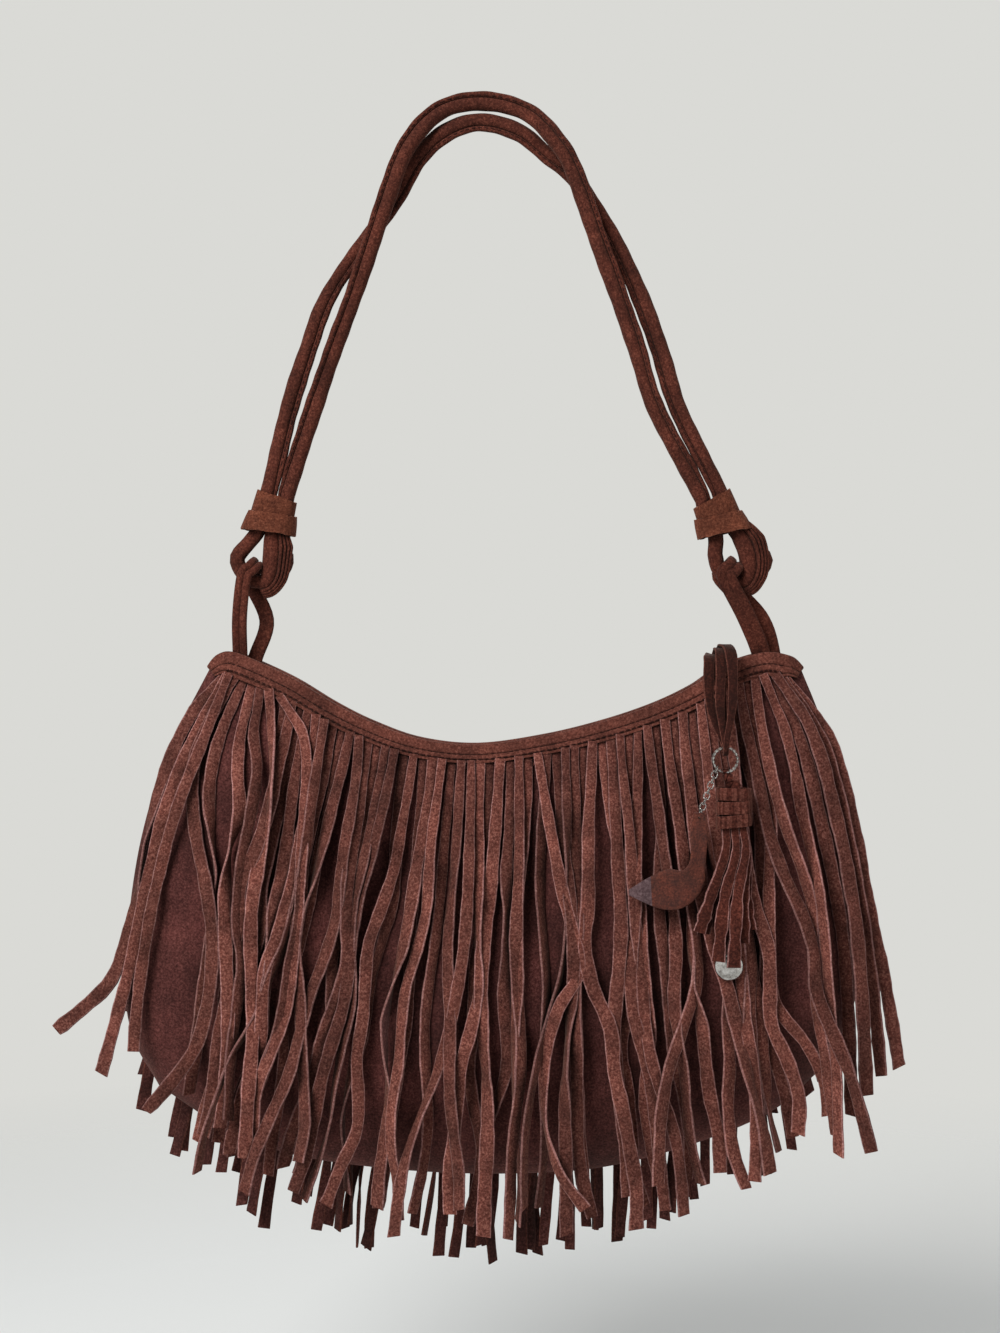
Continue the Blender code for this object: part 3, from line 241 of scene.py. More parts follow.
def toLinear(colour):
    return [((c / 255 + 0.055) / 1.055) ** 2.4 if c > 10 else c / 255 / 12.92 for c in colour]


def setInputs(tree, node, values):
    for key, value in values.items():
        if hasattr(value, "links"):
            tree.links.new(value, node.inputs[key])
        else:
            node.inputs[key].default_value = value
    return node


def addNode(tree, kind, values=None, **settings):
    node = tree.nodes.new("ShaderNode" + kind)
    for key, value in settings.items():
        setattr(node, key, value)
    return setInputs(tree, node, values or {})


def noiseNode(tree, coords, scale, detail=4.0, rough=0.6, stretch=None):
    if stretch:
        coords = addNode(tree, "Mapping", {"Vector": coords, "Scale": stretch}).outputs["Vector"]
    return addNode(tree, "TexNoise", {"Vector": coords, "Scale": scale, "Detail": detail,
                                      "Roughness": rough}).outputs["Fac"]


def rangeNode(tree, source, low, high):
    return addNode(tree, "MapRange", {"Value": source, "To Min": low, "To Max": high}).outputs["Result"]


def bumpNode(tree, source, strength, distance, under=None):
    values = {"Height": source, "Strength": strength, "Distance": distance}
    if under:
        values["Normal"] = under
    return addNode(tree, "Bump", values).outputs["Normal"]


def rampNode(tree, source, stops):
    # stops are places with a colour, or with one grey value
    node = addNode(tree, "ValToRGB", {"Fac": source})
    elements = node.color_ramp.elements
    while len(elements) < len(stops):
        elements.new(0.5)
    for element, (place, colour) in zip(elements, stops):
        element.position = place
        element.color = (*([colour] * 3 if isinstance(colour, float) else colour), 1.0)
    return node.outputs["Color"]


def multiply(tree, factor, first, second):
    node = addNode(tree, "Mix", {0: factor, 6: first, 7: second}, data_type="RGBA", blend_type="MULTIPLY")
    return node.outputs[2]


suedeLook = {
    "speckle": 900.0, "patch": 60.0, "streak": 420.0, "fibre": 1700.0, "fold": 330.0, "patchDark": 0.55,
    # the occlusion reach in mm and its darkest factor set the painted shade in gaps and crevices
    "hollow": 9.0, "hollowDark": 0.16, "roughLow": 0.82, "roughHigh": 0.98, "specular": 0.1,
    "sheen": 0.08, "sheenTint": (0.95, 0.62, 0.5, 1.0), "bump": 0.8,
}


def suede(name, look):
    # brushed nap: fibre speckle, brushed patches, painted shade from ambient occlusion in crevices and gaps,
    # a tone for each strip, soft sheen
    look = {**suedeLook, **look}
    item, tree, shader, coords = newMaterial(name)
    deep, middle, light = (toLinear(look[key]) for key in ("deep", "colour", "light"))
    speckle = noiseNode(tree, coords, look["speckle"], 8.0, 0.8)
    patches = noiseNode(tree, coords, look["patch"], 6.0, 0.65)
    streaks = noiseNode(tree, coords, look["streak"], stretch=(1.0, 1.0, 0.22))
    # painted shade: ambient occlusion darkens the base colour where surfaces lie close together, as in the
    # gaps between strands
    hollow = addNode(tree, "AmbientOcclusion", {"Distance": look["hollow"] * mm}, samples=4)
    tone = addNode(tree, "Attribute", attribute_name="tone")
    shade = rampNode(tree, hollow.outputs["AO"], [(0.12, look["hollowDark"]), (0.72, 1.0)])
    base = rampNode(tree, speckle, [(0.34, deep), (0.5, middle), (0.66, light)])
    for factor, layer in ((1.0, rampNode(tree, patches, [(0.33, look["patchDark"]), (0.67, 1.25)])),
                          (1.0, shade),
                          (0.8, rampNode(tree, streaks, [(0.3, 0.82), (0.7, 1.12)])),
                          (1.0, tone.outputs["Color"])):
        base = multiply(tree, factor, base, layer)
    pile = bumpNode(tree, noiseNode(tree, coords, look["fibre"], 5.0, 0.75), look["bump"], 0.0003)
    creases = bumpNode(tree, noiseNode(tree, coords, look["fold"]), 0.4, 0.0005, pile)
    setInputs(tree, shader, {
        "Base Color": base, "Roughness": rangeNode(tree, patches, look["roughLow"], look["roughHigh"]),
        "Specular IOR Level": look["specular"], "Sheen Weight": look["sheen"], "Sheen Roughness": 0.45,
        "Sheen Tint": look["sheenTint"], "Normal": creases})
    return item


def metal(name, look):
    item, tree, shader, coords = newMaterial(name)
    stains = noiseNode(tree, coords, 260.0, 5.0, 0.7)
    scratches = noiseNode(tree, coords, 900.0, 6.0, 0.8, (1.0, 1.0, 0.3))
    colour = rampNode(tree, stains, [(0.35, toLinear(look["deep"])), (0.62, toLinear(look["colour"]))])
    setInputs(tree, shader, {
        "Base Color": colour,
        "Roughness": rangeNode(tree, scratches, look["rough"] * 0.7, look["rough"] * 1.5), "Metallic": 1.0,
        "Normal": bumpNode(tree, scratches, 0.15, 0.0001)})
    return item


def wovenCloth(name, look):
    item, tree, shader, coords = newMaterial(name)
    across, down = [addNode(tree, "TexWave", {"Vector": coords, "Scale": look["threads"], "Distortion": 0.6},
                            bands_direction=way).outputs["Color"] for way in ("X", "Z")]
    weave = multiply(tree, 0.7, across, down)
    blotches = noiseNode(tree, coords, 90.0, 5.0)
    colour = rampNode(tree, blotches, [(0.3, toLinear(look["deep"])), (0.7, toLinear(look["colour"]))])
    setInputs(tree, shader, {"Base Color": multiply(tree, 0.35, colour, weave), "Roughness": 0.9,
                             "Sheen Weight": 0.15, "Normal": bumpNode(tree, weave, 0.4, 0.0002)})
    return item


def suedeTones(name, deep, colour, light, **look):
    return suede(name, {"deep": deep, "colour": colour, "light": light, **look})


strandNap = suedeTones("strandNap", (40, 14, 10), (92, 50, 42), (142, 94, 82), hollow=11.0, hollowDark=0.06)
strandEdge = suedeTones("strandEdge", (82, 48, 45), (124, 84, 79), (166, 126, 120), patchDark=0.75)
strandFlesh = suedeTones("strandFlesh", (44, 20, 19), (86, 52, 50), (128, 90, 86), hollowDark=0.08)
panelNap = suedeTones("panelNap", (38, 16, 14), (77, 40, 37), (112, 68, 62), patch=26.0, patchDark=0.45,
                      hollowDark=0.12)
rimNap = suedeTones("rimNap", (46, 18, 13), (86, 46, 37), (126, 78, 66))
# darker copy of the strand suede: painted shade for the back panel and back fringe, which hang in shadow
shadedBackNap = suedeTones("shadedBackNap", (34, 13, 11), (68, 36, 32), (108, 67, 61))
cordNap = suedeTones("cordNap", (38, 14, 9), (72, 34, 25), (112, 64, 50), hollow=5.0)
wrapNap = suedeTones("wrapNap", (54, 24, 14), (92, 48, 33), (130, 78, 58), hollow=4.0)
wrapEdge = suedeTones("wrapEdge", (110, 66, 50), (156, 106, 88), (190, 146, 126))
laceNap = suedeTones("laceNap", (22, 7, 4), (45, 19, 14), (78, 40, 31), hollow=6.0)
tasselNap = suedeTones("tasselNap", (31, 10, 6), (63, 28, 21), (104, 56, 45), hollow=7.0, hollowDark=0.06)
tagNap = suedeTones("tagNap", (40, 14, 9), (72, 32, 22), (104, 55, 40), patch=110.0, roughLow=0.55,
                    specular=0.25, bump=0.3)
tipNap = suedeTones("tipNap", (58, 42, 44), (88, 68, 70), (116, 96, 98))
thread = suedeTones("thread", (24, 9, 7), (40, 17, 13), (64, 32, 27))
brightMetal = metal("brightMetal", {"deep": (120, 116, 112), "colour": (205, 203, 200), "rough": 0.2})
darkMetal = metal("darkMetal", {"deep": (14, 12, 12), "colour": (34, 30, 30), "rough": 0.2})
liningCloth = wovenCloth("liningCloth", {"deep": (30, 22, 21), "colour": (52, 40, 38), "threads": 900.0})
tapeCloth = wovenCloth("tapeCloth", {"deep": (24, 15, 14), "colour": (44, 29, 27), "threads": 1100.0})
print("materials made")


# the pouch's outline in millimetres, x and z, and its depth, as the solids have them
outline = {
    "rim": [(-137.2, -274.9), (-132.0, -270.4), (-125.5, -268.8), (-112.2, -273.9), (-94.4, -282.5),
            (-75.0, -294.3), (-55.6, -304.0), (-31.1, -312.6), (-1.0, -315.7), (33.7, -311.0),
            (64.3, -303.5), (89.8, -294.8), (109.1, -285.6), (124.0, -275.8), (142.8, -269.3),
            (156.0, -270.8), (163.2, -275.4)],
    "left": [(-137.2, -274.9), (-150.5, -300.0), (-160.7, -321.3), (-173.4, -367.2),
             (-179.5, -418.2), (-177.5, -459.0), (-163.2, -487.0)],
    "bottom": [(-163.2, -487.0), (-127.5, -510.0), (-91.8, -522.8), (-40.8, -529.4), (10.2, -531.4),
               (61.2, -528.4), (107.1, -517.1), (147.9, -500.3), (172.0, -480.0)],
    "right": [(163.2, -275.4), (173.4, -300.9), (186.2, -341.7), (193.8, -392.7), (192.8, -433.5),
              (184.0, -462.0), (172.0, -480.0)],
}
sideWords = {-1: "front", 1: "back"}
pouch = {"wall": 1.6 * mm, "seam": 0.15 * mm, "corner": 1.9 * mm, "mouth": 7.0 * mm, "bulge": 27.0 * mm,
         "fullness": 0.25, "dent": 1.0 * mm}


def flatCurve(points, count):
    return smoothPath([(x * mm, 0.0, z * mm) for x, z in points], count)


rimCurve, leftCurve = flatCurve(outline["rim"], 201), flatCurve(outline["left"], 101)
rightCurve, bottomCurve = flatCurve(outline["right"], 101), flatCurve(outline["bottom"], 201)


def along(curve, t):
    place = np.clip(t, 0, 1) * (len(curve) - 1)
    return np.stack([np.interp(place, np.arange(len(curve)), curve[:, i]) for i in range(3)], axis=-1)


def sortedTable(points, key, value):
    order = np.argsort(points[:, key])
    return points[order, key], points[order, value]


leftTurn, rightTurn = int(np.argmin(leftCurve[:, 0])), int(np.argmax(rightCurve[:, 0]))
topTable = sortedTable(np.vstack([leftCurve[:leftTurn + 1], rimCurve, rightCurve[:rightTurn + 1]]), 0, 2)
bottomTable = sortedTable(np.vstack([leftCurve[leftTurn:], bottomCurve, rightCurve[rightTurn:]]), 0, 2)
leftTable = sortedTable(np.vstack([leftCurve, bottomCurve[:60]]), 2, 0)
rightTable = sortedTable(np.vstack([rightCurve, bottomCurve[140:]]), 2, 0)


def pouchHalf(x, z):
    # half of the space between the two panels at a place seen from the front
    left, right = np.interp(z, *leftTable), np.interp(z, *rightTable)
    top, bottom = np.interp(x, *topTable), np.interp(x, *bottomTable)
    u = np.clip((x - left) / (right - left), 0, 1)
    v = np.clip((top - z) / np.maximum(top - bottom, 1e-6), 0, 1)
    fullness = (4 * u * (1 - u)) ** pouch["fullness"]
    belly = v ** 0.9 * (1 - v) ** 0.5 / 0.4015
    return (pouch["seam"] + pouch["corner"] * (1 - v) ** 3
            + fullness * (pouch["mouth"] * (1 - v) + pouch["bulge"] * belly)), u, v


def panelFace(x, z, side):
    # outer face of a panel, with the shallow dents of a soft bag that hangs full
    half, u, v = pouchHalf(x, z)
    calm = np.clip(4 * u * (1 - u), 0, 1) * np.clip(6 * v * (1 - v), 0, 1)
    ripple = (np.sin(x * 41 + side * 1.7 + z * 13) * 0.5 + np.sin(x * 73 - z * 59 + side) * 0.3
              + np.sin(z * 97 + x * 29 + side * 2.1) * 0.2)
    return half + pouch["wall"] * 1.05 + pouch["dent"] * ripple * calm


def panelPlace(u, v):
    top, bottom, left, right = (along(rimCurve, u), along(bottomCurve, u),
                                along(leftCurve, v), along(rightCurve, v))
    u, v = np.asarray(u)[..., None], np.asarray(v)[..., None]
    corners = (rimCurve[0] * (1 - u) * (1 - v) + rimCurve[-1] * u * (1 - v)
               + bottomCurve[0] * (1 - u) * v + bottomCurve[-1] * u * v)
    return top * (1 - v) + bottom * v + left * (1 - u) + right * u - corners


def crowd(t, power):
    t = np.asarray(t, float)
    return np.where(t < 0.5, 0.5 * (2 * t) ** power, 1 - 0.5 * (2 - 2 * t) ** power)


def makePanel(side):
    look = {"columns": 84, "rows": 52, "edge": 1.1 * mm, "least": 0.1 * mm}
    u = crowd(np.linspace(0, 1, look["columns"] + 1), 1.7)
    v = 1 - (1 - np.linspace(0, 1, look["rows"] + 1)) ** 1.7
    uu, vv = np.meshgrid(u, v)
    place = panelPlace(uu, vv)
    outer = panelFace(place[..., 0], place[..., 2], side)
    edge = np.minimum(np.minimum(uu, 1 - uu), 1 - vv) < 1e-6
    outer[edge] = look["edge"] + pouch["corner"] * (1 - vv[edge]) ** 9  # sewn together down the sides
    wall = np.where(edge, look["edge"] - look["least"], pouch["wall"])
    store = newStore()
    width, count = look["columns"] + 1, (look["rows"] + 1) * (look["columns"] + 1)
    for depth in (outer, outer - wall):
        points = place.copy()
        points[..., 1] = side * np.maximum(depth, look["least"])
        store["verts"].extend(points.reshape(-1, 3).tolist())
    addShellFaces(store, 0, look["columns"], look["rows"])
    loop = list(range(width))
    loop += [j * width + look["columns"] for j in range(1, look["rows"] + 1)]
    loop += [look["rows"] * width + i for i in range(look["columns"] - 1, -1, -1)]
    loop += [j * width for j in range(look["rows"] - 1, 0, -1)]
    for a, b in zip(loop, loop[1:] + loop[:1]):
        store["faces"].append((a, b, count + b, count + a))
        store["slots"].append(1)
    store["tones"] = [1.0] * len(store["verts"])
    # the back panel takes the darker suede copy, painted shade
    makeObject(sideWords[side] + "Body", store, [panelNap if side < 0 else shadedBackNap, strandEdge], "pouch",
               [sideWords[side] + "_panel"], 60.0)


for side in (-1, 1):
    makePanel(side)
print("pouch panels made")


# binding on the rim

def rimFrame(t):
    place = along(rimCurve, t)
    direction = unit(along(rimCurve, t + 0.01) - along(rimCurve, t - 0.01))
    normal = np.stack([-direction[..., 2], np.zeros(np.shape(t)), direction[..., 0]], axis=-1)
    return place, direction, normal


def bindingHeight(t):
    return (6.5 + 4.0 * (2 * t - 1) ** 2) * mm


rimLook = {
    "stations": 220, "faceGap": 4.7 * mm, "inside": 1.5 * mm, "top": 2.7 * mm,
    "outer": [(2.0, -0.15), (1.2, 0.25), (0.0, 0.5), (-1.2, 0.42), (-2.1, 0.05), (-2.5, -0.55),
              (-2.9, 0.0), (-3.7, 0.35), (-4.6, 0.33), (-5.3, 0.0), (-5.7, -0.65), (-6.0, -0.1),
              (-6.6, 0.15), (-7.2, -0.1), (-7.5, -1.0)],
    "stitchRows": (-2.5, -5.0), "stitchPitch": 3.1 * mm, "stitchLength": 2.2 * mm,
}


def rimDepth(t, n):
    # distance of the binding's face from the middle, n along the rim's normal
    place, _, normal = rimFrame(t)
    height = bindingHeight(t)
    low = place - normal * height
    half = float(pouchHalf(place[0], place[2])[0])
    rise = max(float(pouchHalf(low[0], low[2])[0]) - half, 0.0) + 0.8 * mm
    return half, half + rimLook["faceGap"] + rise * min(max(-n / height, 0.0), 1.0)


def makeRim(side):
    store = newStore()
    shares = crowd(np.linspace(0, 1, rimLook["stations"] + 1), 1.15)
    rings = []
    for k, t in enumerate(shares):
        place, _, normal = rimFrame(t)
        half = rimDepth(t, 0.0)[0]
        tall = bindingHeight(t) / (7.5 * mm) * min(1.0, 0.5 + 14 * min(t, 1 - t))
        pucker = 0.12 * math.sin(k * 2.1) + 0.1 * math.sin(k * 0.83 + 1.0)
        inside, top = half - rimLook["inside"], rimLook["top"] * min(1.0, 0.55 + 20 * min(t, 1 - t))
        outside = half + rimLook["faceGap"]
        section = [(inside + 1.2 * mm, -4.0 * mm), (inside, -4.0 * mm), (inside, top - 0.9 * mm),
                   (inside + 0.3 * mm, top - 0.25 * mm), (inside + 0.9 * mm, top)]
        section += [(outside - 1.0 * mm, top + 0.1 * mm), (outside - 0.4 * mm, top - 0.15 * mm)]
        for n, swell in rimLook["outer"]:
            n = n * mm * tall if n < 0 else min(n * mm, top - 0.4 * mm)
            section.append((rimDepth(t, n)[1] + (swell + pucker * (0.5 if swell > 0 else 1.0)) * mm, n))
        section += [(rimDepth(t, -7.4 * mm * tall)[1] - 1.6 * mm, -7.4 * mm * tall),
                    (outside - 1.6 * mm, top - 1.6 * mm), (inside + 1.2 * mm, top - 1.6 * mm)]
        rings.append(acrossSection(place, normal, section, side))
    addSweep(store, rings, [0])
    makeObject(sideWords[side] + "Binding", store, [rimNap], "pouch", [sideWords[side] + "_rim"],
               60.0)


def makeRimStitches():
    store = newStore()
    lengths = np.concatenate([[0], np.cumsum(np.linalg.norm(np.diff(rimCurve, axis=0), axis=1))])
    for side in (-1, 1):
        for row, n in enumerate(rimLook["stitchRows"]):
            sink = -0.42 if row == 0 else 0.3
            for start in np.arange(9 * mm, lengths[-1] - 11 * mm, rimLook["stitchPitch"]):
                ends = []
                for value in (start, start + rimLook["stitchLength"]):
                    t = np.interp(value, lengths, np.linspace(0, 1, len(lengths)))
                    place, _, normal = rimFrame(t)
                    down = n * bindingHeight(t) / 7.5
                    y = rimDepth(t, down)[1] + sink * mm
                    ends += acrossSection(place, normal, [(y, down)], side)
                addStitch(store, ends[0], ends[1], (0.0, float(side), 0.0), 0.33 * mm)
    makeObject("rimStitches", store, [thread], "pouch", ())


for side in (-1, 1):
    makeRim(side)
makeRimStitches()
print("rim made")


# fringes: each strand is laid on what is already there, like hanging strips

grid = {"x0": -0.235, "z0": -0.600, "cell": 1.0 * mm, "nx": 480, "nz": 345, "over": 2.0 * mm,
        "free": 3.0 * mm, "steps": 150}
charmRoom = {"below": -0.444, "fadeDown": 0.04, "beside": 0.14, "fadeSide": 0.02}  # the charms pass in front


def newField(side):
    x = grid["x0"] + np.arange(grid["nx"]) * grid["cell"]
    z = grid["z0"] + np.arange(grid["nz"]) * grid["cell"]
    xx, zz = np.meshgrid(x, z)
    field = panelFace(xx, zz, side)
    top, bottom = np.interp(xx, *topTable), np.interp(xx, *bottomTable)
    left, right = np.interp(zz, *leftTable), np.interp(zz, *rightTable)
    over = grid["over"]
    outside = (zz < bottom - over) | (xx < left - over) | (xx > right + over) | (zz > top + 10 * over)
    field[outside] = grid["free"]
    return field


def layStrand(field, path, width, thick, twist, fall, lift, most, loose):
    # depth of the strand along its path, and its print in the field
    steps = grid["steps"]
    fine = smoothPath(path, steps)
    s = np.linspace(0, 1, steps)
    turn = np.interp(s, np.linspace(0, 1, len(twist)), twist)
    tangent = unit(np.gradient(fine, axis=0))
    sideways = np.stack([tangent[:, 2], np.zeros(steps), -tangent[:, 0]], axis=-1)
    reach = np.abs(np.sin(turn)) * width / 2 + np.abs(np.cos(turn)) * thick / 2
    spread = np.abs(np.cos(turn)) * width / 2 + np.abs(np.sin(turn)) * thick / 2
    cells = []
    need = np.zeros(steps)
    for i in range(steps):
        offsets = np.linspace(-0.84, 0.84, 7) * spread[i]
        px = np.rint((fine[i, 0] + sideways[i, 0] * offsets - grid["x0"]) / grid["cell"]).astype(int)
        pz = np.rint((fine[i, 2] + sideways[i, 2] * offsets - grid["z0"]) / grid["cell"]).astype(int)
        px, pz = np.clip(px, 0, grid["nx"] - 1), np.clip(pz, 0, grid["nz"] - 1)
        cells.append((pz, px))
        need[i] = field[pz, px].max() + reach[i] + 0.15 * mm
    step = np.linalg.norm(fine[-1] - fine[0]) / steps
    depth = need + lift
    for i in range(1, steps):
        depth[i] = max(depth[i], depth[i - 1] - fall * step)
    for i in range(steps - 2, -1, -1):
        depth[i] = max(depth[i], depth[i + 1] - 0.5 * step)
    kernel = np.exp(-np.linspace(-2, 2, 13) ** 2)
    padded = np.pad(depth, 6, mode="edge")
    smooth = np.convolve(padded, kernel / kernel.sum(), mode="valid")
    free = (np.clip((charmRoom["below"] - fine[:, 2]) / charmRoom["fadeDown"], 0, 1)
            + np.clip((fine[:, 0] - charmRoom["beside"]) / charmRoom["fadeSide"], 0, 1))
    room = most + loose * free
    depth = np.minimum(np.maximum(smooth, need * 0.5 + smooth * 0.5), room - reach)
    for i, (pz, px) in enumerate(cells):
        field[pz, px] = np.maximum(field[pz, px], depth[i] + reach[i])
    return fine, depth, turn


strandEndLine = [(0.0, -206.0, -450.0), (0.02, -192.0, -474.0), (0.05, -175.0, -480.0),
                 (0.09, -158.0, -494.0), (0.2, -122.0, -512.0), (0.35, -66.0, -532.0),
                 (0.5, 2.0, -546.0), (0.65, 70.0, -541.0), (0.8, 126.0, -522.0),
                 (0.9, 165.0, -501.0), (0.96, 188.0, -482.0), (1.0, 206.0, -473.0)]
backReach = {"half": 0.183, "drop": 0.021, "middleDrop": 0.026}


def strandEnds(side, share):
    if side < 0:
        shares, xs, zs = zip(*strandEndLine)
        return np.interp(share, shares, xs) * mm, np.interp(share, shares, zs) * mm
    x = -backReach["half"] + 2 * backReach["half"] * share
    low = float(np.interp(x, *bottomTable))
    return x, low - backReach["drop"] - backReach["middleDrop"] * (1 - abs(2 * share - 1) ** 2)


handLaid = [  # strands followed from the picture, from the rim down
    [(213, 678), (185, 715), (160, 770), (142, 830), (132, 890), (122, 940), (105, 985), (75, 1015),
     (48, 1037)],
    [(216, 682), (192, 730), (170, 780), (152, 840), (140, 900), (128, 960), (112, 1020), (95, 1080)],
    [(220, 686), (200, 740), (178, 800), (160, 860), (148, 920), (138, 980), (132, 1030), (130, 1055)],
    [(228, 687), (200, 731), (189, 770), (192, 830), (208, 893), (214, 940), (210, 996), (198, 1043),
     (174, 1079), (147, 1110)],
    [(236, 692), (214, 743), (206, 798), (212, 853), (216, 897), (208, 950), (198, 1020), (190, 1075),
     (186, 1098)],
    [(246, 696), (234, 759), (240, 798), (230, 846), (225, 893), (227, 940), (230, 1035), (226, 1095),
     (222, 1125)],
    [(257, 700), (250, 743), (256, 782), (243, 861), (238, 917), (244, 976), (236, 1015), (232, 1114)],
    [(268, 704), (272, 778), (265, 838), (254, 897), (252, 956), (255, 1035), (249, 1150)],
    [(280, 708), (303, 743), (304, 818), (300, 897), (292, 976), (281, 1035), (262, 1071), (257, 1130)],
    [(540, 752), (548, 815), (561, 885), (579, 968), (559, 1004), (545, 1055), (545, 1122), (563, 1174),
     (584, 1201)],
    [(776, 682), (792, 740), (806, 820), (818, 900), (826, 980), (832, 1060), (835, 1150)],
    [(785, 681), (805, 740), (822, 810), (838, 890), (848, 960), (853, 1040), (857, 1122)],
    [(793, 681), (815, 730), (835, 800), (850, 870), (858, 940), (864, 1010), (869, 1098)],
    [(801, 682), (828, 740), (846, 800), (860, 870), (870, 930), (880, 1000), (889, 1084)],
    [(808, 684), (835, 735), (852, 786), (866, 850), (876, 909), (888, 960), (900, 1020), (910, 1078)],
]

fringeLook = {
    -1: {"count": 68, "stations": 52, "width": 6.8 * mm, "thick": 1.25 * mm, "wave": 3.4 * mm,
         "lift": 2.8 * mm, "cross": 0.24, "clump": 0.5, "tilt": 34.0, "seed": 11, "flat": (0.440, 0.235),
         "most": 38.4 * mm, "loose": 15.0 * mm, "bare": ((0.056, 0.009), (0.153, 0.012), (-0.112, 0.006)),
         "finish": [strandNap, strandEdge, strandFlesh]},
    # the back fringe takes the darker suede copy, painted shade
    1: {"count": 60, "stations": 36, "width": 6.0 * mm, "thick": 1.25 * mm, "wave": 2.6 * mm,
        "lift": 1.5 * mm, "cross": 0.12, "clump": 0.4, "tilt": 26.0, "seed": 23, "flat": (0.350, 0.265),
        "most": 38.4 * mm, "loose": 5.0 * mm, "bare": (), "finish": [shadedBackNap, rimNap, shadedBackNap]},
}
headerLook = {"stations": 160, "margin": 0.011, "raise": 1.6 * mm, "seam": 1.5 * mm}


def followedStrands(starts, count):
    # which strand of the front fringe each listed route is for: the first nine, one inside, the last five
    routes = {}
    for index, points in enumerate(handLaid):
        gaps = [abs(along(rimCurve, t)[0] - fromPicture(*points[0], -0.015)[0]) for t in starts]
        nearest = int(np.argmin(gaps))
        routes[index if index < 9 else count - len(handLaid) + index if index > 9 else nearest] = points
    return routes


def makeHeader(store, side):
    # uncut strip that joins the strands under the binding
    header = []
    for t in np.linspace(headerLook["margin"], 1 - headerLook["margin"], headerLook["stations"]):
        place, _, normal = rimFrame(t)
        half = float(pouchHalf(place[0], place[2])[0])
        height = bindingHeight(t)
        edge = -height - (3.4 + 1.6 * math.sin(t * 260) + 1.0 * math.sin(t * 611)) * mm
        low = place + normal * edge
        face = float(panelFace(low[0], low[2], side))
        seam = headerLook["seam"] - height
        section = [(half + 2.0 * mm, mm), (half + 3.2 * mm, mm), (half + 3.3 * mm, seam),
                   (face + 1.0 * mm, edge), (face + 0.2 * mm, edge), (half + 2.0 * mm, seam)]
        header.append(acrossSection(place, normal, section, side))
    addSweep(store, header, [0])


